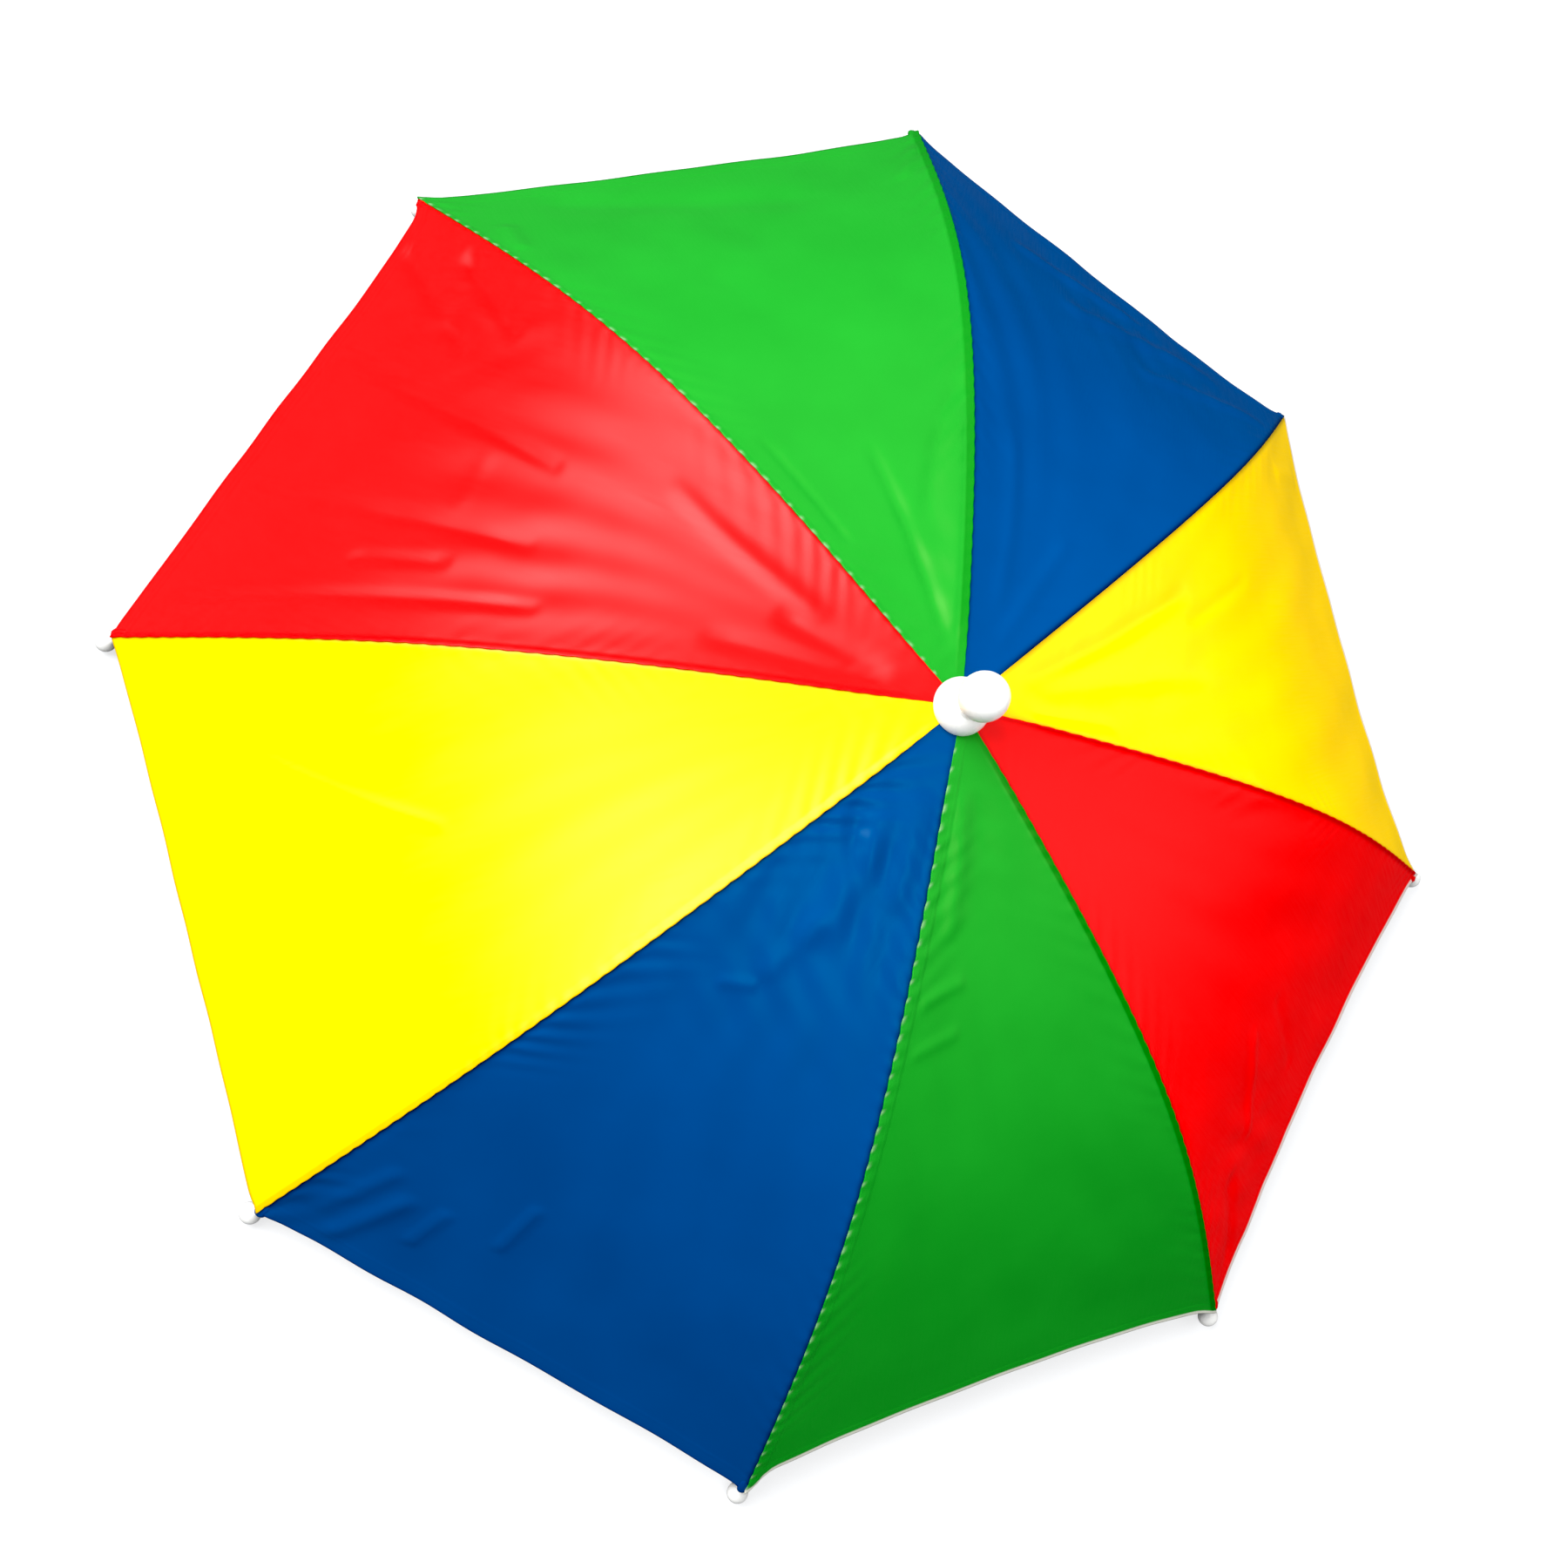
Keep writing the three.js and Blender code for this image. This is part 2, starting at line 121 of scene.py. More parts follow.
fine_share = np.linspace(0, 1.06, 2121)
fine_slope = rib_slope(fine_share)


def summed(rate):
    """The running length of a rate along the rib, by the trapezium rule."""
    steps = (rate[1:] + rate[:-1]) / 2 * np.diff(fine_share) * RIB_LENGTH
    return np.concatenate([[0], np.cumsum(steps)])


fine_out = summed(np.cos(fine_slope))
fine_down = summed(np.sin(fine_slope))
start_drop = np.interp(CLOTH_START, fine_share, fine_down)
start_lift = CLOTH_LIFT * math.cos(rib_slope(CLOTH_START))
RIB_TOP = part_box("gore_1_green")[1].z / MM + start_drop - start_lift


def azimuth(rib):
    return -math.radians(45) * rib + math.radians(RIBS[rib % 8]["turn"])


def rib_frame(rib, share, lift=0.0):
    """The point at a share of a rib, lifted off its line, and the three ways out, round and
    up from the wire. The share may be a whole array."""
    angle = azimuth(rib)
    slope = rib_slope(share)
    outward = np.array([math.cos(angle), math.sin(angle), 0])
    round_way = np.array([-math.sin(angle), math.cos(angle), 0])
    up = np.sin(slope)[..., None] * outward + np.cos(slope)[..., None] * np.array([0, 0, 1])
    radius = np.interp(share, fine_share, fine_out) * RIBS[rib % 8]["reach"]
    point = radius[..., None] * outward
    point[..., 2] = RIB_TOP - np.interp(share, fine_share, fine_down)
    return point + up * lift, outward, round_way, up


print("rib top", round(RIB_TOP, 2), "mm, reach", round(np.interp(1, fine_share, fine_out), 1))

# %% [markdown]
# Small helpers that each piece uses. A grid of points becomes a mesh in one call, colours are
# given as the sRGB values that a paint chart would have, and one function adds a shader node.

# %% Helpers


def linear(hex_colour):
    """An sRGB hex colour as linear light, opaque."""
    parts = [int(hex_colour[i : i + 2], 16) / 255 for i in (1, 3, 5)]
    return [c / 12.92 if c <= 0.04045 else ((c + 0.055) / 1.055) ** 2.4 for c in parts] + [1.0]


def fill(tree, made, inputs):
    """Fills a node's sockets with values or links."""
    for socket, value in inputs.items():
        if isinstance(value, bpy.types.NodeSocket):
            tree.links.new(value, made.inputs[socket])
        else:
            made.inputs[socket].default_value = value


def node(tree, kind, inputs=None, **settings):
    """Adds a shader node, sets its properties, and fills its sockets."""
    made = tree.nodes.new(kind)
    for name, value in settings.items():
        setattr(made, name, value)
    fill(tree, made, inputs or {})
    return made


def colour_mix(tree, share, first, second, **settings):
    """The colour that a share picks between two."""
    inputs = {0: share, 6: first, 7: second}
    return node(tree, "ShaderNodeMix", inputs, data_type="RGBA", **settings).outputs[2]


def spread(tree, noise, low, high):
    """Widens the middle of a noise, where nearly all of it lies, to a range of values."""
    inputs = {"Value": noise, 1: 0.3, 2: 0.7, 3: low, 4: high}
    return node(tree, "ShaderNodeMapRange", inputs).outputs[0]


def object_noise(tree, size, detail=2.0):
    """Noise in an object's own space, its coarsest grain of a size in millimetres."""
    place = node(tree, "ShaderNodeTexCoord").outputs["Object"]
    inputs = {"Vector": place, "Scale": 1 / (size * MM), "Detail": detail}
    return node(tree, "ShaderNodeTexNoise", inputs).outputs[0]


def bumps(tree, height, strength, distance):
    """Surface normals from a height that stands for a distance in millimetres."""
    inputs = {"Height": height, "Strength": strength, "Distance": distance * MM}
    return node(tree, "ShaderNodeBump", inputs).outputs[0]


def new_material(name):
    """A material, its node tree and its principled shader."""
    material = bpy.data.materials.new(name)
    material.use_nodes = True
    return material, material.node_tree, material.node_tree.nodes["Principled BSDF"]


def mesh_piece(name, points, quads, material, uv=None, smooth=True, triangles=()):
    """A mesh object from arrays: points in millimetres, quads and triangles as corner numbers,
    and one UV pair for each point."""
    mesh = bpy.data.meshes.new(name)
    faces = [*map(tuple, np.asarray(quads).tolist()), *map(tuple, np.asarray(triangles).tolist())]
    mesh.from_pydata((np.asarray(points).reshape(-1, 3) * MM).tolist(), [], faces)
    mesh.polygons.foreach_set("use_smooth", np.full(len(mesh.polygons), smooth))
    if uv is not None:
        corners = np.zeros(len(mesh.loops), np.int32)
        mesh.loops.foreach_get("vertex_index", corners)
        layer = mesh.uv_layers.new(name="cloth")
        layer.data.foreach_set("uv", uv.reshape(-1, 2)[corners].ravel().astype(np.float32))
    mesh.materials.append(material)
    mesh.update()
    piece = bpy.data.objects.new(name, mesh)
    bpy.context.scene.collection.objects.link(piece)
    return piece


def grid_quads(rows, columns, closed_rows=False, closed_columns=False):
    """The quads of a grid of points, row by row. A closed grid joins its last line to its
    first."""
    r = np.arange(rows if closed_rows else rows - 1)[:, None]
    c = np.arange(columns if closed_columns else columns - 1)[None, :]
    r2 = (r + 1) % rows
    c2 = (c + 1) % columns
    corners = [r * columns + c, r * columns + c2, r2 * columns + c2, r2 * columns + c]
    return np.stack(corners, -1).reshape(-1, 4)


def end_fans(rows, sides):
    """The triangles that close a tube of points at its two ends. The two middle points are
    numbered after the tube's own."""
    ring = np.arange(sides)
    after = (ring + 1) % sides
    last = (rows - 1) * sides
    return np.concatenate([
        np.stack([after, ring, np.full(sides, rows * sides)], -1),
        np.stack([ring + last, after + last, np.full(sides, rows * sides + 1)], -1),
    ])


def attribute(piece, name, values):
    """Stores one number for each point, for the material to read."""
    layer = piece.data.attributes.new(name, "FLOAT", "POINT")
    layer.data.foreach_set("value", np.ravel(values).astype(np.float32))


def smoothstep(x):
    """From 0 to 1 as x does, level at both ends."""
    x = np.clip(x, 0, 1)
    return x * x * (3 - 2 * x)


def bell(distance, reach, power=2):
    """One at no distance, and next to nothing at twice the reach."""
    return np.exp(-((distance / reach) ** power))


def finish_piece(piece, slot, *nodes):
    """Sets a piece to ride on the root and hides the solids that it replaces, if any. The slot is
    not used.
    """
    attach(piece, "root")
    if nodes:
        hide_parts(*nodes)
    return piece


# %% [markdown]
# The cloth is polyester taffeta: filament yarn in a tight plain weave, dyed bright and
# calendered, so it has a broad satin sheen. One thread is 0.12 mm, too fine for the render,
# so the weave is drawn at 0.28 mm. Where a seam or a hem doubles the cloth, less light comes
# through it, and its colour is deeper. In the crease beside a seam a dark colour is painted as
# the shade that falls there, and the pale stitches along some seams are partly a painted
# highlight on the edge of the strip.

# %% Cloth material
WEAVE = 0.09 * math.pi  # mm between threads as drawn
SLUB_WIDTH, SLUB_LENGTH = 0.9, 22.0
BLOTCH = 60.0  # mm across a change of the dye
UV_UNIT = 100.0  # mm of cloth in one unit of the UV map
THREAD_BUMP, THREAD_HEIGHT = 0.025, 0.04
UNDYED = "#E9E2DA"


def cloth_material(name, colour, doubled, crease_shade_colour, sheen):
    """Dyed taffeta in a colour, with a deeper one where the cloth is doubled, a dark one painted
    in as the shade in the crease of a seam, and a pale one for undyed edges and for stitch dots
    that are partly a painted highlight. The dye also tints the light that the filaments send
    back."""
    material, tree, shader = new_material(name)
    uv = node(tree, "ShaderNodeUVMap", uv_map="cloth").outputs[0]
    deep, painted_crease_shade, pale = (
        node(tree, "ShaderNodeAttribute", attribute_name=fact).outputs["Fac"]
        for fact in ("doubled", "painted_crease_shade", "selvage")
    )

    # Slow changes of the dye and the tension
    blotch = node(tree, "ShaderNodeTexNoise",
                  {"Vector": uv, "Scale": UV_UNIT / BLOTCH, "Detail": 3.0}).outputs[0]
    dyed = colour_mix(tree, 1.0, linear(colour), spread(tree, blotch, 0.93, 1.05),
                      blend_type="MULTIPLY")
    folded = colour_mix(tree, deep, dyed, linear(doubled))
    # Painted shade: the crease colour darkens the cloth beside a seam, where shade falls
    crease_shaded = colour_mix(tree, painted_crease_shade, folded, linear(crease_shade_colour))
    # The pale undyed colour for selvages and stitch dots; along seams it is partly a painted
    # highlight
    edged = colour_mix(tree, pale, crease_shaded, linear(UNDYED))

    # Threads: two sets of ridges that cross, and slubs that run some two centimetres along
    # them. A wave texture of scale 1 repeats at a tenth of pi.
    ridges = UV_UNIT / WEAVE * math.pi / 10
    warp, weft = (
        node(tree, "ShaderNodeTexWave", {"Vector": uv, "Scale": ridges},
             bands_direction=way, wave_profile="SIN").outputs[1]
        for way in "XY"
    )
    weave = node(tree, "ShaderNodeMath", {0: warp, 1: weft}, operation="MULTIPLY")
    stretch = node(tree, "ShaderNodeMapping", {
        "Vector": uv, "Scale": (UV_UNIT / SLUB_WIDTH, UV_UNIT / SLUB_LENGTH, 1)})
    slub = node(tree, "ShaderNodeTexNoise",
                {"Vector": stretch.outputs[0], "Scale": 1.0, "Detail": 2.0}).outputs[0]
    height = node(tree, "ShaderNodeMath", {0: weave.outputs[0], 1: slub}, operation="ADD")

    # The calender leaves the gloss a little uneven along the threads
    fill(tree, shader, {
        "Base Color": edged,
        "Normal": bumps(tree, height.outputs[0], THREAD_BUMP, THREAD_HEIGHT),
        "Roughness": spread(tree, slub, 0.34, 0.4),
        "Specular IOR Level": 0.22,
        "Specular Tint": linear(sheen),
    })
    return material


# Each cloth: its dye, its doubled colour, the dark colour painted as crease shade, and its sheen
# tint
CLOTHS = {
    "red": cloth_material("dyed_taffeta_red", "#F90F10", "#B80004", "#5E0508", "#FFFFFF"),
    "yellow": cloth_material("dyed_taffeta_yellow", "#FCD003", "#D9A800", "#A88A10", "#FFFFFF"),
    "green": cloth_material("dyed_taffeta_green", "#21952A", "#0B7414", "#06400C", "#F4FFB0"),
    "blue": cloth_material("dyed_taffeta_blue", "#024380", "#013379", "#02173E", "#9CEBFF"),
}

# %% [markdown]
# A gore is a triangle of cloth stretched between two ribs. Seen along the rib it follows the
# curve above, and across it runs straight from rib to rib with a shallow dip. Cloth
# simulation could stretch it, but the folds of this hat are set by how it was cut, sewn and
# folded away, so each is a row in a table: a line on the flat cloth, with a height and a
# width.

# %% The gores' tables
SAG = 0.03  # how far a gore dips between its ribs, as a share of its width
GORE_ROWS = 250
SEAM_COLUMNS = 9
MIDDLE_COLUMNS = 82
SEAM_ZONE = 5.0  # mm beside a seam that get their own columns
HEM_ROWS, HEM_ROWS_ZONE = 12, 8.0  # close rows, and the mm before the rib's end that they take
HEM_ZONE = 26.0  # mm above the hem over which its line is eased in
HEM_FOLD = 6.0  # mm of cloth that the hem turns under
TONGUE = 5.0  # mm beside a rib over which the corner runs out to its lap
STITCH_BAY = 6.6  # mm between the stitch bays along a seam
STRIP_RISE, STITCH_DENT, CREASE_DENT = 0.35, 0.12, 0.25  # mm, at a seam
PUCKER_STEP, PUCKER_REACH = 11.5, 14.0  # mm along a seam, and away from it
# The second reach is that of the painted shade in a seam's crease
RIPPLE_REACH, CREASE_SHADE_REACH, ALLOWANCE = 3.5, 1.5, 3.4  # mm away from a seam
SCALLOP_LEAST, SCALLOP_SWING = 0.35, 0.3  # mm
SELVAGE_PALE, HEM_DEEP = 0.85, 0.8  # shares of the undyed and of the doubled colour
HEM_RISE, HEM_DENT = 0.12, 0.06  # mm
SLACK = 0.09  # mm, the height of each long wave
THICKNESS, SEAM_THICKNESS, HEM_THICKNESS = 0.35, 0.45, 0.3  # mm: the cloth, and what is added
HUB_EASE, SEAM_EASE = 40.0, 6.0  # mm over which the dip and the folds fade in
NARROW = 30.0  # mm of width under which a gore's seams lie flat

# hem is how far a gore runs beyond the ribs' ends, in mm, at its quarters, and selvage is the
# width of the undyed edge that three of the gores were cut with
GORES = [
    {"colour": "green", "hem": [3.0, 3.3, 3.0, 2.5, 3.5], "selvage": 0.0},
    {"colour": "blue", "hem": [1.0, 0.4, -0.3, -3.4, -3.0], "selvage": 0.0},
    {"colour": "yellow", "hem": [3.0, -5.4, -7.8, -12.0, -7.0], "selvage": 2.2},
    {"colour": "red", "hem": [-1.0, -7.0, -8.3, -5.8, 1.0], "selvage": 3.2},
    {"colour": "green", "hem": [-2.0, -8.3, -9.8, -9.6, -8.0], "selvage": 1.8},
    {"colour": "blue", "hem": [0.0, -0.4, 0.3, 0.0, 1.0], "selvage": 0.0},
    {"colour": "yellow", "hem": [3.0, 1.5, 1.6, 0.6, 0.8], "selvage": 0.0},
    {"colour": "red", "hem": [2.0, 2.4, 2.3, 0.6, 2.0], "selvage": 0.0},
]

# One row for the seam on each rib. "before" and "after" are the gores at its two sides: the
# strip is the side that is folded over, wide is its width in mm, deep is how much darker its
# doubled cloth is, line is how dark the painted shade in the crease beside it is, dots are the
# pale stitches, partly a painted highlight on the strip's edge, ripple is the wave between
# stitches and puckers are those beyond them, before and after, in mm.
SEAMS = [
    {"strip": "after", "wide": 1.2, "deep": 0.0, "line": 0.7, "dots": 0.18, "ripple": 0.05,
     "puckers": (0.10, 0.16)},
    {"strip": "before", "wide": 3.0, "deep": 0.6, "line": 0.6, "dots": 0.0, "ripple": 0.10,
     "puckers": (0.22, 0.06)},
    {"strip": "", "wide": 0.0, "deep": 0.0, "line": 1.0, "dots": 0.0, "ripple": 0.04,
     "puckers": (0.08, 0.06)},
    {"strip": "after", "wide": 1.3, "deep": 0.8, "line": 0.8, "dots": 0.0, "ripple": 0.05,
     "puckers": (0.06, 0.10)},
    {"strip": "after", "wide": 1.7, "deep": 0.9, "line": 0.8, "dots": 0.0, "ripple": 0.07,
     "puckers": (0.08, 0.08)},
    {"strip": "before", "wide": 4.0, "deep": 0.0, "line": 0.9, "dots": 0.2, "ripple": 0.14,
     "puckers": (0.16, 0.14)},
    {"strip": "after", "wide": 1.8, "deep": 0.8, "line": 1.0, "dots": 0.0, "ripple": 0.08,
     "puckers": (0.32, 0.10)},
    {"strip": "after", "wide": 1.6, "deep": 0.6, "line": 0.6, "dots": 0.0, "ripple": 0.05,
     "puckers": (0.06, 0.10)},
]

# Patches of small crumples: gore from 0, along and across as shares, then radius, wave length
# and height in mm
CRUMPLES = [
    (5, 0.24, 0.42, 32, 15, 0.50),
    (5, 0.37, 0.64, 36, 14, 0.42),
    (5, 0.20, 0.75, 20, 12, 0.35),
    (7, 0.55, 0.30, 46, 19, 0.15),
    (7, 0.82, 0.86, 30, 18, 0.50),
    (0, 0.22, 0.30, 36, 18, 0.22),
    (1, 0.84, 0.60, 44, 18, 0.35),
    (4, 0.16, 0.60, 26, 14, 0.22),
    (2, 0.30, 0.45, 44, 20, 0.20),
    (3, 0.84, 0.78, 34, 15, 0.55),
]

# Folds: gore from 0, along and across at one end and at the other, then height and width in mm
FOLDS = [
    (0, 0.08, 0.63, 0.36, 0.53, -0.9, 3.0),
    (0, 0.25, 0.72, 0.44, 0.94, -0.9, 4.0),
    (0, 0.10, 0.90, 0.40, 0.93, 1.1, 7.0),
    (0, 0.24, 0.16, 0.40, 0.12, -0.6, 2.2),
    (0, 0.95, 0.20, 0.87, 0.70, -0.9, 9.0),
    (0, 0.83, 0.04, 0.90, 0.07, 0.8, 3.0),
    (0, 0.88, 0.93, 0.97, 0.98, 0.9, 3.0),
    (1, 0.86, 0.25, 0.93, 0.60, 1.2, 5.0),
    (1, 0.78, 0.40, 0.92, 0.80, 1.5, 6.0),
    (1, 0.75, 0.65, 0.88, 0.95, 1.2, 5.0),
    (1, 0.15, 0.38, 0.40, 0.22, 0.5, 3.5),
    (1, 0.10, 0.62, 0.30, 0.66, 0.5, 3.5),
    (2, 0.10, 0.33, 0.42, 0.23, -1.0, 4.0),
    (2, 0.42, 0.34, 0.58, 0.28, -0.5, 3.0),
    (2, 0.12, 0.52, 0.42, 0.57, -0.7, 4.5),
    (2, 0.10, 0.82, 0.22, 0.84, -0.6, 3.0),
    (2, 0.83, 0.08, 0.95, 0.12, 0.8, 3.5),
    (3, 0.70, 0.60, 0.82, 0.75, 0.8, 3.0),
    (3, 0.72, 0.48, 0.86, 0.54, -0.5, 2.6),
    (3, 0.83, 0.85, 0.96, 0.92, -1.1, 4.0),
    (4, 0.10, 0.71, 0.26, 0.80, 1.0, 4.0),
    (4, 0.32, 0.70, 0.33, 0.92, 0.6, 3.0),
    (4, 0.38, 0.72, 0.39, 0.92, 0.5, 3.0),
    (5, 0.11, 0.30, 0.24, 0.22, 1.0, 6.0),
    (5, 0.14, 0.52, 0.32, 0.53, 1.2, 7.0),
    (5, 0.29, 0.54, 0.39, 0.61, 0.7, 4.5),
    (5, 0.40, 0.60, 0.42, 0.72, 0.5, 2.6),
    (5, 0.79, 0.645, 0.87, 0.65, 0.9, 2.0),
    (5, 0.86, 0.77, 0.93, 0.78, 0.9, 2.2),
    (5, 0.87, 0.84, 0.98, 0.89, 1.2, 3.4),
    (5, 0.84, 0.90, 0.95, 0.94, 0.9, 3.0),
    (6, 0.63, 0.55, 0.93, 0.86, 0.5, 2.4),
    (6, 0.90, 0.08, 0.97, 0.05, 0.6, 2.6),
    (7, 0.50, 0.155, 0.95, 0.08, -1.2, 3.0),
    (7, 0.63, 0.245, 0.75, 0.22, -1.0, 3.0),
    (7, 0.55, 0.35, 0.94, 0.335, -1.0, 3.2),
    (7, 0.58, 0.60, 0.96, 0.65, -1.2, 3.2),
    (7, 0.66, 0.40, 0.67, 0.56, 0.2, 4.0),
    (7, 0.74, 0.86, 0.88, 0.95, -1.9, 5.0),
    (7, 0.80, 0.78, 0.98, 0.90, -1.9, 5.0),
    (7, 0.10, 0.22, 0.30, 0.20, -0.8, 4.0),
    (7, 0.10, 0.40, 0.24, 0.47, -0.8, 4.5),
    (7, 0.20, 0.60, 0.43, 0.73, 0.7, 4.0),
]


def fold_rise(gore, along, across, width):
    """The folds of a gore at each place on it, in mm. Each is a ridge or a groove with a bell
    profile about its line, and it fades in and out along the line's ends."""
    rise = np.zeros_like(along)
    for row in (f for f in FOLDS if f[0] == gore):
        start = np.array([row[1] * RIB_LENGTH, row[2]])
        end = np.array([row[3] * RIB_LENGTH, row[4]])
        run = end[0] - start[0], (end[1] - start[1]) * width
        away = along * RIB_LENGTH - start[0], (across - start[1]) * width
        length = np.hypot(*run)
        share = (away[0] * run[0] + away[1] * run[1]) / length**2
        held = np.clip(share, 0, 1)
        distance = np.hypot(away[0] - held * run[0], away[1] - held * run[1])
        ends = smoothstep(share / 0.25 + 0.5) * smoothstep((1 - share) / 0.25 + 0.5)
        rise += row[5] * ends * bell(distance, row[6])
    return rise


def slack(gore, along, across, width):
    """Slow unevenness of stretched cloth: a few long waves between the ribs, in mm. They die
    out towards the hub, where the gore is narrow."""
    rng = np.random.default_rng(40 + gore)
    total = np.zeros_like(along)
    for _ in range(7):
        up_rib, round_hat = rng.uniform(1, 5), rng.uniform(1, 7)
        phase = rng.uniform(0, 2 * math.pi)
        total += np.sin(2 * math.pi * (up_rib * along + round_hat * across) + phase)
    return total * SLACK * smoothstep((width - 40) / 120)


def crumples(gore, along, across, width):
    """Patches of small wrinkles in mm. Each is the sum of a few plane waves, most of them with
    crests that run up the gore, under a bell that fades away from its middle."""
    rise = np.zeros_like(along)
    x, y = across * width, along * RIB_LENGTH
    for number, row in enumerate(CRUMPLES):
        if row[0] != gore:
            continue
        rng = np.random.default_rng(200 + number)
        away = np.hypot(y - row[1] * RIB_LENGTH, (across - row[2]) * width)
        waves = np.zeros_like(along)
        for _ in range(5):
            angle, phase = rng.normal(0, 0.5), rng.uniform(0, 2 * math.pi)
            step = row[4] * rng.uniform(0.8, 1.5)
            place = x * math.cos(angle) + y * math.sin(angle)
            waves += np.cos(2 * math.pi * place / step + 2 * phase)
        rise += row[5] * waves / 3 * bell(away, row[3])
    return rise


print("folds:", len(FOLDS), "crumpled patches:", len(CRUMPLES))

# %% [markdown]
# The grid of a gore has its own narrow columns beside each seam, because the seam's strip,
# its stitches and the puckers that they draw in are only a few millimetres wide. At every
# rib but the third, one of the two gores has its edge folded over and stitched down on the
# other, which shows as a raised strip with a scalloped edge.

# %% The gores' surfaces


def columns_across(width):
    """Distances from the left seam for each column: close steps in the two seam zones and
    even steps between them. The zones narrow where the gore does."""
    zone = np.minimum(SEAM_ZONE, 0.3 * width)
    near = np.linspace(0, 1, SEAM_COLUMNS + 1) ** 1.2
    middle = np.linspace(0, 1, MIDDLE_COLUMNS + 1)[1:-1]
    left = zone * near
    centre = zone + (width - 2 * zone) * middle
    right = width - zone * near[::-1]
    return np.concatenate([left, centre, right], axis=1)


def seam_side(gore, side):
    """What one side of a gore does at its seam: the row of the table, whether this side is the
    strip, and how high its puckers are."""
    row = SEAMS[(gore + (side == "right")) % 8]
    here = "after" if side == "left" else "before"
    return row, row["strip"] == here, row["puckers"][here == "after"]


def seam_relief(distance, along, seam, is_strip, puckers):
    """Height beside a seam in mm: the strip's step with its line of stitches, or the crease
    beside it, a small wave between the stitches, and slanting puckers that run some 15 mm
    into the cloth, stronger at some places than at others."""
    row = SEAMS[seam % 8]
    rng = np.random.default_rng(70 + seam)
    place = along * RIB_LENGTH
    drift = sum(rng.uniform(0.5, 1.5) * np.sin(place / rng.uniform(9, 40) + rng.uniform(0, 6))
                for _ in range(4))
    stitch = np.sin(2 * math.pi * place / STITCH_BAY + drift)
    rise = stitch * row["ripple"] * bell(distance, RIPPLE_REACH)
    fan = np.sin(2 * math.pi * (place + 0.8 * distance) / PUCKER_STEP + 1.7 * drift)
    patchy = smoothstep(0.5 + 0.5 * np.sin(place / 23.0 + 2.1 * seam + 0.4 * drift))
    rise += puckers * fan * patchy * bell(distance, PUCKER_REACH) * smoothstep(distance / 4)
    if is_strip:
        wide = row["wide"]
        rise += STRIP_RISE * (1 - smoothstep(distance - wide + 0.5))
        rise -= STITCH_DENT * bell(distance - wide * 0.72, 0.35)
    else:
        rise -= CREASE_DENT * bell(distance, 0.9)
    return rise


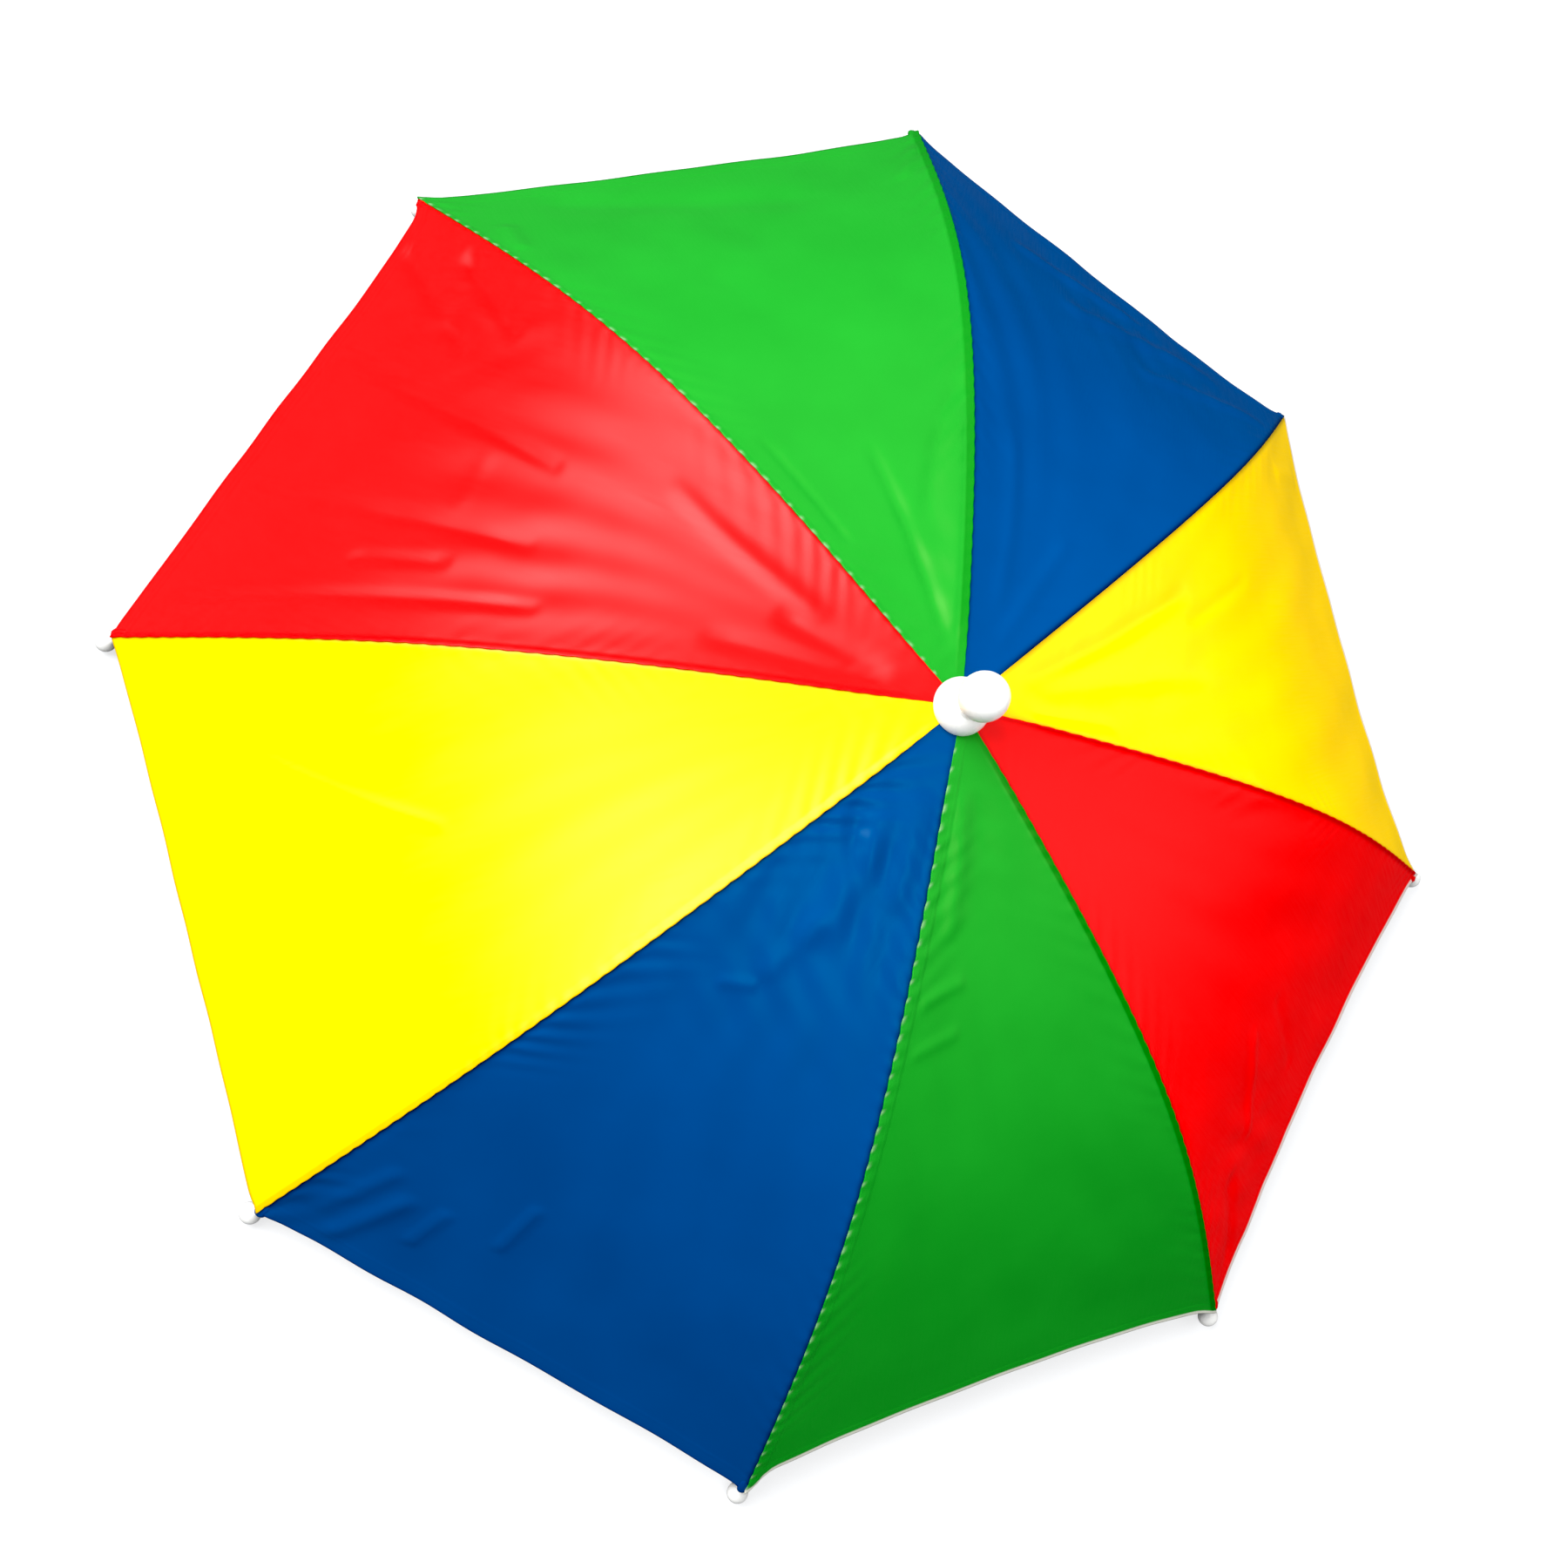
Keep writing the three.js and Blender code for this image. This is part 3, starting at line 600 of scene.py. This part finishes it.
def gore_surface(gore):
    """The upper side of a gore. A point is on the straight line between the two seams at its
    share of the rib, lifted by the dip, the folds, the slack, the seams and the hem."""
    row = GORES[gore]
    left_seam, left_strip, left_puckers = seam_side(gore, "left")
    right_seam, right_strip, right_puckers = seam_side(gore, "right")
    near_hem = np.linspace(0, 1, HEM_ROWS + 1)[1:] * HEM_ROWS_ZONE / RIB_LENGTH
    rows = np.linspace(CLOTH_START, 1 - HEM_ROWS_ZONE / RIB_LENGTH, GORE_ROWS - HEM_ROWS)
    share = np.concatenate([rows, rows[-1] + near_hem])[:, None]
    first = rib_frame(gore, share, CLOTH_LIFT)[0]
    second = rib_frame(gore + 1, share, CLOTH_LIFT)[0]
    width = np.linalg.norm(first - second, axis=-1)
    from_left = columns_across(width)
    from_right = width - from_left
    across = from_left / width
    share = share + np.zeros_like(across)

    # The hem's line and the tongues at its corners
    curve = np.polynomial.Polynomial.fit([0, 0.25, 0.5, 0.75, 1], row["hem"], 4)(across)
    lap_left = RIBS[gore]["lap"] - row["hem"][0]
    lap_right = RIBS[(gore + 1) % 8]["lap"] - row["hem"][-1]
    tongue = lap_left * bell(from_left, TONGUE) + lap_right * bell(from_right, TONGUE)
    ease = smoothstep((share - 1) * RIB_LENGTH / HEM_ZONE + 1)
    from_hem = (1 - share) * RIB_LENGTH
    share = share + ease * (curve + tongue) / RIB_LENGTH

    left, _, _, left_up = rib_frame(gore, share, CLOTH_LIFT)
    right, _, _, right_up = rib_frame(gore + 1, share, CLOTH_LIFT)
    width = np.linalg.norm(left - right, axis=-1)
    up = left_up + (right_up - left_up) * across[..., None]
    up /= np.linalg.norm(up, axis=-1, keepdims=True)

    # The dip and the loose forms, which are folds, slack and crumples, die out at the hub, and
    # the loose ones at the seams too. The seams' relief dies out where the gore is narrow.
    inward = 4 * across * (1 - across)
    start = np.clip((share - CLOTH_START) * RIB_LENGTH / HUB_EASE, 0, 1)
    dip = SAG * width * (1 - 0.75 * share**3) * inward
    beside = smoothstep(from_left / SEAM_EASE) * smoothstep(from_right / SEAM_EASE)
    loose = fold_rise(gore, share, across, width) + slack(gore, share, across, width)
    loose += crumples(gore, share, across, width)
    rise = (loose * beside - dip) * start
    worn = smoothstep(width / NARROW)
    rise += worn * seam_relief(from_left, share, gore, left_strip, left_puckers)
    rise += worn * seam_relief(from_right, share, gore + 1, right_strip, right_puckers)
    rise += HEM_RISE * (1 - smoothstep((from_hem - HEM_FOLD) / 1.5))
    rise -= HEM_DENT * bell(from_hem - HEM_FOLD + 0.8, 0.6)

    # A strip laps over its neighbour by 0.35 to 0.65 mm, in scallops between the stitches
    wave = np.abs(np.sin(math.pi * share * RIB_LENGTH / STITCH_BAY))
    scallop = SCALLOP_LEAST + SCALLOP_SWING * wave
    lap = right_strip * scallop * bell(from_right, 0.8)
    lap -= left_strip * scallop * bell(from_left, 0.8)
    points = left + (right - left) * (across + lap * worn / width)[..., None]
    points += up * rise[..., None]

    # Where the cloth is doubled, where shade is painted in the crease beside a seam, and where it
    # is pale: an undyed edge, and stitch dots that are partly a painted highlight
    doubled, painted_crease_shade = np.zeros_like(across), np.zeros_like(across)
    pale = SELVAGE_PALE * (1 - smoothstep((from_hem - row["selvage"]) / 0.7))
    pale *= row["selvage"] > 0
    sides = (left_seam, left_strip, from_left), (right_seam, right_strip, from_right)
    for seam, strip, away in sides:
        if strip:
            edge = 1 - smoothstep((away - seam["wide"] + 0.3) / 0.6)
            doubled = np.maximum(doubled, seam["deep"] * edge)
            # Pale stitch dots on the strip's edge, partly a painted highlight
            bays = np.sin(2 * math.pi * share * RIB_LENGTH / STITCH_BAY)
            dots = seam["dots"] * smoothstep((bays - 0.5) / 0.4)
            pale = np.maximum(pale, dots * (1 - smoothstep((away - 0.5) / 0.5)))
        else:
            # Painted shade in the crease beside a seam without a strip
            painted_crease_shade = np.maximum(painted_crease_shade, seam["line"] * bell(away, CREASE_SHADE_REACH))
    if not row["selvage"]:
        doubled = np.maximum(doubled, HEM_DEEP * (1 - smoothstep((from_hem - 0.4) / 0.8)))
    uv = np.stack([from_left - width / 2, share * RIB_LENGTH], -1) / UV_UNIT
    facts = {"up": up, "from_left": from_left, "from_right": from_right, "from_hem": from_hem,
             "doubled": doubled * worn, "painted_crease_shade": painted_crease_shade * worn, "selvage": pale, "uv": uv,
             "width": width, "share": share}
    return points, facts


def cloth_shell(points, facts):
    """The lower side of a gore: the cloth's thickness below the upper side, and more along
    the seams, where the allowances hang under it, and along the turned hem."""
    sides = facts["from_left"], facts["from_right"]
    allowance = bell(sides[0], ALLOWANCE, 4) + bell(sides[1], ALLOWANCE, 4)
    thick = THICKNESS + SEAM_THICKNESS * np.minimum(allowance, 1)
    thick = thick + HEM_THICKNESS * (1 - smoothstep((facts["from_hem"] - HEM_FOLD) / 0.8))
    return points - facts["up"] * thick[..., None]


def make_gore(gore):
    """A gore as one closed shell: upper side, lower side, and a rim that joins them. Returns
    the piece, its upper side, and the flat area as the sum of its widths along the rib."""
    upper, facts = gore_surface(gore)
    lower = cloth_shell(upper, facts)
    rows, columns = upper.shape[:2]
    layer = rows * columns
    top = grid_quads(rows, columns)
    bottom = top[:, ::-1] + layer
    ring = np.concatenate([
        np.arange(columns),
        np.arange(1, rows) * columns + columns - 1,
        (rows - 1) * columns + np.arange(columns - 2, -1, -1),
        np.arange(rows - 2, 0, -1) * columns,
    ])
    after = np.roll(ring, -1)
    rim = np.stack([after, ring, ring + layer, after + layer], -1)
    colour = GORES[gore]["colour"]
    uv = np.concatenate([facts["uv"].reshape(-1, 2)] * 2)
    points = np.concatenate([upper.reshape(-1, 3), lower.reshape(-1, 3)])
    faces = np.concatenate([top, bottom, rim])
    piece = mesh_piece(f"cloth_{gore + 1}_{colour}", points, faces, CLOTHS[colour], uv)
    # The crease fact is painted shade, and the selvage fact also holds the stitch dots, partly a
    # painted highlight
    for fact in ("doubled", "painted_crease_shade", "selvage"):
        attribute(piece, fact, np.concatenate([facts[fact].ravel()] * 2))
    widths = facts["width"][:, 0]
    steps = np.diff(facts["share"][:, columns // 2]) * RIB_LENGTH
    area = np.sum((widths[1:] + widths[:-1]) / 2 * steps) * MM**2
    finish_piece(piece, f"{colour}_cloth", f"gore_{gore + 1}_{colour}")
    return piece, upper, area


# The gore that each rib's corner pocket is cut from, and how many mm it runs beyond the rib's end
POCKETS = [
    {"gore": 7, "beyond": 6.5}, {"gore": 0, "beyond": 9.5}, {"gore": 1, "beyond": 6.5},
    {"gore": 3, "beyond": 2.6}, {"gore": 3, "beyond": 2.2}, {"gore": 5, "beyond": 2.6},
    {"gore": 5, "beyond": 3.2}, {"gore": 7, "beyond": 2.4},
]
POCKET_LENGTH, POCKET_HALF_WIDTH, POCKET_HALF_HEIGHT = 9.0, 2.7, 1.6
POCKET_LIFT = 0.9  # from the rib's line to the pocket's
POCKET_SHIFT = 1.1  # towards the gore that it is cut from
POCKET_ROWS, POCKET_SIDES = 28, 36
POCKET_DEEP = 0.35  # share of the doubled colour


def corner_pocket(rib):
    """The sewn pocket that holds a rib's end: a closed pod with small creases, its section an
    ellipse that swells from the back to past the middle and closes round at the front."""
    row = POCKETS[rib]
    t = np.linspace(0, 1, POCKET_ROWS + 2)[1:-1, None]
    angle = np.linspace(0, 2 * math.pi, POCKET_SIDES, endpoint=False)[None, :]
    swell = np.sqrt(1 - np.abs(2 * t - 1) ** 2.6) * (0.78 + 0.22 * t)
    creases = 1 + 0.035 * np.cos(9 * angle + 5 * t)
    shift = -POCKET_SHIFT if row["gore"] == rib else POCKET_SHIFT
    across = POCKET_HALF_WIDTH * swell * np.cos(angle) * creases + shift
    height = POCKET_HALF_HEIGHT * swell * np.sin(angle) * creases
    place = 1 + (row["beyond"] - POCKET_LENGTH * (1 - t)) / RIB_LENGTH + 0 * angle
    base, _, round_way, up = rib_frame(rib, place, POCKET_LIFT)
    points = base + across[..., None] * round_way + height[..., None] * up
    ends = [rib_frame(rib, 1 + x / RIB_LENGTH, POCKET_LIFT)[0] + shift * round_way
            for x in (row["beyond"] - POCKET_LENGTH, row["beyond"])]
    quads = grid_quads(*across.shape, closed_columns=True)[:, ::-1]
    fans = end_fans(*across.shape)[:, [1, 0, 2]]
    uv = np.stack([across, place * RIB_LENGTH], -1).reshape(-1, 2) / UV_UNIT
    uv = np.concatenate([uv, uv[:1], uv[-1:]])
    points = np.concatenate([points.reshape(-1, 3), ends])
    colour = GORES[row["gore"]]["colour"]
    piece = mesh_piece(f"corner_{rib + 1}", points, quads, CLOTHS[colour], uv, triangles=fans)
    attribute(piece, "doubled", np.full(len(points), POCKET_DEEP))
    return finish_piece(piece, f"{colour}_cloth")


pockets = [corner_pocket(rib) for rib in range(8)]
print("corner pockets:", len(pockets), "triangles each", 2 * POCKET_ROWS * POCKET_SIDES)

cloths = []
for gore in range(8):
    piece, upper, area = make_gore(gore)
    cloths.append({"piece": piece, "area": area})
    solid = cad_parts[f"gore_{gore + 1}_{GORES[gore]['colour']}"]
    corners = np.array([v.co for v in solid.data.vertices]) / MM
    nearest = [np.linalg.norm(upper.reshape(-1, 3)[::3] - c, axis=1).min() for c in corners[::9]]
    print(piece.name, "area", round(area * 1e4), "cm2, farthest from the solid",
          round(max(nearest), 1), "mm, triangles", 2 * len(piece.data.polygons))

# %% [markdown]
# White plastic: polypropylene, injection moulded, so it is smooth and glossy with a faint
# ripple from the mould. The wires are zinc-bright steel, and the headband is white elastic.

# %% Plastic, wire and elastic materials


def moulded_plastic():
    """White polypropylene with a faint ripple some 6 mm across."""
    material, tree, shader = new_material("moulded_polypropylene")
    ripple = object_noise(tree, 6.0)
    fill(tree, shader, {
        "Base Color": colour_mix(tree, ripple, linear("#F1F0EC"), linear("#FAFAF8")),
        "Roughness": spread(tree, ripple, 0.2, 0.32),
        "Normal": bumps(tree, ripple, 0.15, 0.1),
    })
    return material


def drawn_steel():
    """Zinc-bright drawn wire: a metal with a fine grain and a slightly uneven gloss."""
    material, tree, shader = new_material("drawn_steel_wire")
    grain = object_noise(tree, 1.5, 4.0)
    fill(tree, shader, {
        "Base Color": colour_mix(tree, grain, linear("#A3A6AA"), linear("#D0D2D6")),
        "Roughness": spread(tree, grain, 0.24, 0.4),
        "Metallic": 1.0,
    })
    return material


def woven_elastic():
    """White elastic: soft yarn woven round rubber threads, matt, with a fine crimp."""
    material, tree, shader = new_material("woven_elastic_white")
    crimp = object_noise(tree, 0.8, 3.0)
    fill(tree, shader, {
        "Base Color": colour_mix(tree, crimp, linear("#DEDEDA"), linear("#F6F6F4")),
        "Roughness": 0.88,
        "Sheen Weight": 0.2,
        "Normal": bumps(tree, crimp, 0.6, 0.2),
    })
    return material


PLASTIC = moulded_plastic()
STEEL = drawn_steel()
ELASTIC = woven_elastic()

# %% [markdown]
# Turned and drawn pieces are a profile carried round an axis or along a line. The beads, the
# cap and the knob are profiles about an axis, as they are moulded, and the wires are a circle
# carried along the curve of the rib.

# %% Turned pieces and wires


def turned_piece(name, profile, material, sides, axis=None, start=None):
    """A profile of radius and height pairs, carried round an axis. The first and last pairs
    lie on the axis or meet, so the surface is closed."""
    profile = np.asarray(profile, float)
    angles = np.linspace(0, 2 * math.pi, sides, endpoint=False)
    closed = np.allclose(profile[0], profile[-1])
    body = profile[:-1] if closed else profile[1:-1]
    points = np.stack([body[:, None, 0] * np.cos(angles), body[:, None, 0] * np.sin(angles),
                       body[:, None, 1] + 0 * angles], -1)
    quads = grid_quads(len(body), sides, closed_rows=closed, closed_columns=True)
    triangles = ()
    points = points.reshape(-1, 3)
    if not closed:
        ends = np.array([[0, 0, profile[0, 1]], [0, 0, profile[-1, 1]]])
        points = np.concatenate([points, ends])
        triangles = end_fans(len(body), sides)
    if axis is not None:
        turn = np.array(Vector((0, 0, 1)).rotation_difference(Vector(axis)).to_matrix())
        points = points @ turn.T + np.asarray(start)
    return mesh_piece(name, points, quads, material, triangles=triangles)


def curved_profile(corners, steps):
    """A smooth profile through a few pairs of radius and height, by Catmull-Rom splines."""
    c = np.asarray(corners, float)
    c = np.concatenate([[2 * c[0] - c[1]], c, [2 * c[-1] - c[-2]]])
    t = np.linspace(0, 1, steps, endpoint=False)[None, :, None]
    a, b, d, e = (c[i : len(c) - 3 + i][:, None, :] for i in range(4))
    spline = 0.5 * (2 * b + (d - a) * t + (2 * a - 5 * b + 4 * d - e) * t**2
                    + (3 * b - a - 3 * d + e) * t**3)
    smooth = np.concatenate([spline.reshape(-1, 2), c[-2:-1]])
    smooth[:, 0] = np.maximum(smooth[:, 0], 0)
    return smooth


WIRE_ROUNDING = 0.25  # mm, at a wire's ends


def wire_piece(name, centre, width, material, sides=14):
    """A round wire along a line of points, its two ends slightly rounded."""
    centre = np.asarray(centre, float)
    way = np.gradient(centre, axis=0)
    way /= np.linalg.norm(way, axis=1, keepdims=True)
    side = np.cross(way, [0, 0, 1])
    side /= np.linalg.norm(side, axis=1, keepdims=True)
    over = np.cross(side, way)
    centre = np.concatenate([centre[:1], centre[:1] + way[:1] * WIRE_ROUNDING, centre[1:-1],
                             centre[-1:] - way[-1:] * WIRE_ROUNDING, centre[-1:]])
    side = np.concatenate([side[:1], side, side[-1:]])
    over = np.concatenate([over[:1], over, over[-1:]])
    radius = np.full(len(centre), width / 2)
    radius[[0, -1]] = width / 2 - WIRE_ROUNDING
    angles = np.linspace(0, 2 * math.pi, sides, endpoint=False)
    points = centre[:, None] + radius[:, None, None] * (
        side[:, None] * np.cos(angles)[:, None] + over[:, None] * np.sin(angles)[:, None])
    quads = grid_quads(len(centre), sides, closed_columns=True)
    points = np.concatenate([points.reshape(-1, 3), centre[:1], centre[-1:]])
    triangles = end_fans(len(centre), sides)
    return mesh_piece(name, points, quads, material, triangles=triangles)


HUB_WIDTH, HUB_SLOT = 18.0, 3.0  # a rib starts in a slot of the hub, a little off its floor
BEAD_LENGTH, BEAD_WIDTH = 12.9, 8.2
BEAD_DIPS = [22, 22, 22, 10, 12, 22, 22, 22]  # degrees steeper than the rib's end
# Pairs of a share of the length and a share of the width
BEAD_OUTLINE = [(0, 0.24), (0.14, 0.38), (0.3, 0.58), (0.46, 0.82), (0.6, 0.98), (0.72, 1.0),
                (0.84, 0.86), (0.95, 0.5), (1.0, 0.0)]
bead_corners = [(wide * BEAD_WIDTH / 2, along * BEAD_LENGTH) for along, wide in BEAD_OUTLINE]
bead_profile = np.concatenate([[[0, 0]], curved_profile(bead_corners, 4)])
rib_radius = HUB_WIDTH / 2 - HUB_SLOT + CLEARANCE
rib_first = rib_radius / (RIB_LENGTH * math.cos(math.radians(HUB_SLOPE)))
for rib in range(8):
    number = rib + 1
    line = rib_frame(rib, np.linspace(rib_first, 1, 90))[0]
    finish_piece(wire_piece(f"rib_wire_{number}", line, RIB_WIRE, STEEL), "steel_wire",
                 f"rib_{number}")
    end, outward, _, _ = rib_frame(rib, 1.0)
    dip = math.radians(BEAD_DIPS[rib])
    bead_slope = rib_slope(1.0) + dip
    bead_gap = RIB_WIRE / 2 * math.sin(dip) + CLEARANCE
    way = outward * math.cos(bead_slope) - np.array([0, 0, math.sin(bead_slope)])
    bead = turned_piece(f"tip_bead_{number}", bead_profile, PLASTIC, 32, way,
                        end + way * bead_gap)
    finish_piece(bead, "white_plastic", f"bead_{number}")
    print("rib", number, "bead bottom", round(min(v.co.z for v in bead.data.vertices) / MM, 2))

# %% [markdown]
# The cap is a low dome on the cloth and the knob stands on it. The post runs down from the
# knob through the cloth, the hub and the runner to the crown.

# %% Cap and knob
canopy_top = RIB_TOP + CLOTH_LIFT / math.cos(math.radians(HUB_SLOPE))
cone = math.tan(math.radians(HUB_SLOPE))
CAP_WIDTH, CAP_HEIGHT = 20.6, 8.5
NECK_WIDTH = 10.5
KNOB_WIDTH, KNOB_HEIGHT = 17.4, 18.0
POST_WIDTH = 6.0
post_hole = POST_WIDTH / 2 + CLEARANCE
cap_radius = CAP_WIDTH / 2
cap_base = canopy_top - cone * cap_radius + CLEARANCE
cap_top = canopy_top + CAP_HEIGHT
CAP_EDGE = 1.0  # mm, the upright edge below the dome
bulge = cap_top - cap_base - CAP_EDGE
dome_angles = np.radians(np.linspace(0, 62, 12))
# Here and in the ball, the power of the cosine makes a fuller form than a sphere
dome = np.stack([cap_radius * np.cos(dome_angles) ** 0.8,
                 cap_base + CAP_EDGE + bulge * np.sin(dome_angles)], -1)
cap_rim = [[cap_radius * 0.94, cap_base + cone * cap_radius * 0.06],
           [cap_radius * 0.975, cap_base + 0.12], [cap_radius * 0.995, cap_base + 0.5]]
cap_hole = [post_hole, canopy_top - cone * post_hole + CLEARANCE]
neck = NECK_WIDTH / 2
cap_profile = np.concatenate([
    [cap_hole], cap_rim, dome,
    [[neck + 0.4, cap_top - 0.1], [neck - 0.2, cap_top], [post_hole, cap_top], cap_hole]])
finish_piece(turned_piece("cap_dome", cap_profile, PLASTIC, 96), "white_plastic", "cap")

knob_base = cap_top + CLEARANCE
knob_middle = knob_base + KNOB_HEIGHT * 0.55
knob_top = knob_base + KNOB_HEIGHT
post_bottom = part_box("knob")[0].z / MM
ball_angles = np.radians(np.linspace(-55, 84, 34))
lift = np.where(ball_angles < 0, knob_middle - knob_base, knob_top - knob_middle)
ball = np.stack([KNOB_WIDTH / 2 * np.cos(ball_angles) ** 0.75,
                 knob_middle + lift * np.sin(ball_angles)], -1)
post = POST_WIDTH / 2
knob_profile = np.concatenate([
    [[0, post_bottom], [post - 0.3, post_bottom], [post, post_bottom + 0.3],
     [post, knob_base - 0.1], [post + 0.1, knob_base], [neck - 0.2, knob_base]],
    ball, [[0, knob_top]]])
finish_piece(turned_piece("knob_ball", knob_profile, PLASTIC, 96), "white_plastic", "knob")
print("cap top", round(cap_top, 2), "knob top", round(knob_top, 2))

# %% [markdown]
# The stretchers, the hub, the runner and the cradle keep their solids' shapes, and only take
# the materials above.

# %% Materials of the solids that stay
for name in ("hub", "runner", "cradle", *(f"stretcher_{n}" for n in range(1, 9))):
    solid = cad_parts[name]
    solid.data.materials.clear()
    solid.data.materials.append(STEEL if name.startswith("stretcher") else PLASTIC)

# %% [markdown]
# The headband is a ring of woven elastic, ribbed along its length, that the cradle's four
# arms hold. It is a closed surface: a rounded strip with shallow ribs, carried round the
# head.

# %% Headband
BAND_WIDTH, BAND_WALL, BAND_HEIGHT, BAND_LIFT = 176.0, 2.5, 34.0, 5.0
BAND_RIBS, RIB_DEPTH = 11, 0.2
BOX_POWER = 0.35  # of the sine and cosine: nought is a sharp box, and one an ellipse


def band_surface(around=240, over=72):
    """A strip's section carried round the head. The section is a long rounded box, and its
    two faces swell and sink by up to RIB_DEPTH at each rib."""
    turn = np.linspace(0, 2 * math.pi, around, endpoint=False)[:, None]
    t = np.linspace(0, 2 * math.pi, over, endpoint=False)[None, :]
    high = np.sign(np.sin(t)) * np.abs(np.sin(t)) ** BOX_POWER * (BAND_HEIGHT / 2 - 0.1)
    deep = np.sign(np.cos(t)) * np.abs(np.cos(t)) ** BOX_POWER * (BAND_WALL / 2 - 0.25)
    ribs = RIB_DEPTH * np.cos(2 * math.pi * BAND_RIBS * high / BAND_HEIGHT)
    deep = deep + np.sign(deep) * ribs * np.minimum(np.abs(deep), 1)
    radius = BAND_WIDTH / 2 + BAND_WALL / 2 + deep
    height = BAND_LIFT + BAND_HEIGHT / 2 + high
    return np.stack([radius * np.cos(turn), radius * np.sin(turn), height + 0 * turn], -1)


band_points = band_surface()
band_quads = grid_quads(*band_points.shape[:2], True, True)
band = mesh_piece("elastic_band", band_points, band_quads, ELASTIC)
finish_piece(band, "white_elastic", "headband")

# %% [markdown]
# A gore is cut from flat cloth: a triangle as wide as the straight distance between two rib
# ends and as long as the rib. Here the names of the corner pockets are gathered for each gore
# whose cloth they are cut from.

for gore, row in enumerate(cloths):
    corners = [piece.name for piece, pocket in zip(pockets, POCKETS) if pocket["gore"] == gore]

# %% [markdown]
# The hat stands on a white table under soft light: a large softbox from the picture's upper
# left, which lights the gores on that side most, a smaller one beside it that gives the cloth
# its sheen, a small one above that gives it to the blue gore below the knob, two weak ones
# from the right and the top, and a little light from all round. A studio would flag off the
# light that the table throws back into the sheen. Here the table and the room are dimmer in
# reflections, the two weak lights show in none, and the table is as white as paper to the
# camera. The picture's black point is raised a little, for the photo's saturated colours.

# %% Floor and light
WHITE_TO_CAMERA = 0.68  # emission that the camera alone sees, on top of the light
floor_material, tree, shader = new_material("white_table")
tone = colour_mix(tree, object_noise(tree, 25.0), linear("#8C8E91"), linear("#929496"))
path = node(tree, "ShaderNodeLightPath")
glow = node(tree, "ShaderNodeMapRange",
            {"Value": path.outputs["Is Camera Ray"], 3: 0.0, 4: WHITE_TO_CAMERA})
fill(tree, shader, {
    "Base Color": colour_mix(tree, path.outputs["Is Glossy Ray"], tone, linear("#3C3D3F")),
    "Roughness": 0.7,
    "Emission Color": (1, 1, 1, 1),
    "Emission Strength": glow.outputs[0],
})
FLOOR_HALF = 12000.0  # mm
floor_points = [[-1, -1, 0], [1, -1, 0], [1, 1, 0], [-1, 1, 0]]
floor = mesh_piece("table_top", np.array(floor_points) * FLOOR_HALF, [[0, 1, 2, 3]],
                   floor_material, smooth=False)
HAT_MIDDLE = Vector((0, 0, 0.08))


def softbox(name, direction, distance, size, power):
    """A square area light that looks at the hat from a direction. The distance and the size
    are in metres, and the power is in watts."""
    data = bpy.data.lights.new(name, "AREA")
    data.shape = "SQUARE"
    data.size = size
    data.energy = power
    lamp = bpy.data.objects.new(name, data)
    bpy.context.scene.collection.objects.link(lamp)
    way = Vector(direction).normalized()
    lamp.location = HAT_MIDDLE + way * distance
    lamp.rotation_mode = "QUATERNION"
    lamp.rotation_quaternion = way.to_track_quat("Z", "Y")
    return lamp


softbox("key_softbox", (0.66, 0.24, 0.71), distance=1.7, size=1.3, power=30)
softbox("sheen_softbox", picture_right * -0.30 + picture_up * 0.42 + back * 0.85,
        distance=1.6, size=0.95, power=20)
weak = [softbox("fill_softbox", (-0.47, -0.67, 0.57), distance=1.7, size=1.3, power=12),
        softbox("edge_softbox", (0.45, -0.80, 0.40), distance=1.7, size=1.0, power=6)]
for lamp in weak:
    lamp.visible_glossy = False
softbox("top_softbox", (-0.345, 0.193, 0.917), distance=1.6, size=0.5, power=5)

ROOM_LIGHT, ROOM_IN_REFLECTIONS = 0.37, 0.15
world = bpy.data.worlds.new("studio")
bpy.context.scene.world = world
world.use_nodes = True
tree = world.node_tree
path = node(tree, "ShaderNodeLightPath")
seen = node(tree, "ShaderNodeMapRange",
            {"Value": path.outputs["Is Camera Ray"], 3: ROOM_LIGHT, 4: 1.0})
mirrored = node(tree, "ShaderNodeMapRange",
                {"Value": path.outputs["Is Glossy Ray"], 3: 1.0, 4: ROOM_IN_REFLECTIONS})
strength = node(tree, "ShaderNodeMath", {0: seen.outputs[0], 1: mirrored.outputs[0]},
                operation="MULTIPLY")
fill(tree, tree.nodes["Background"],
     {"Color": (0.96, 0.98, 1, 1), "Strength": strength.outputs[0]})
BLACK_POINT = 0.016
view = bpy.context.scene.view_settings
view.view_transform = "Standard"
view.use_curve_mapping = True
view.curve_mapping.black_level = (BLACK_POINT, BLACK_POINT, BLACK_POINT)
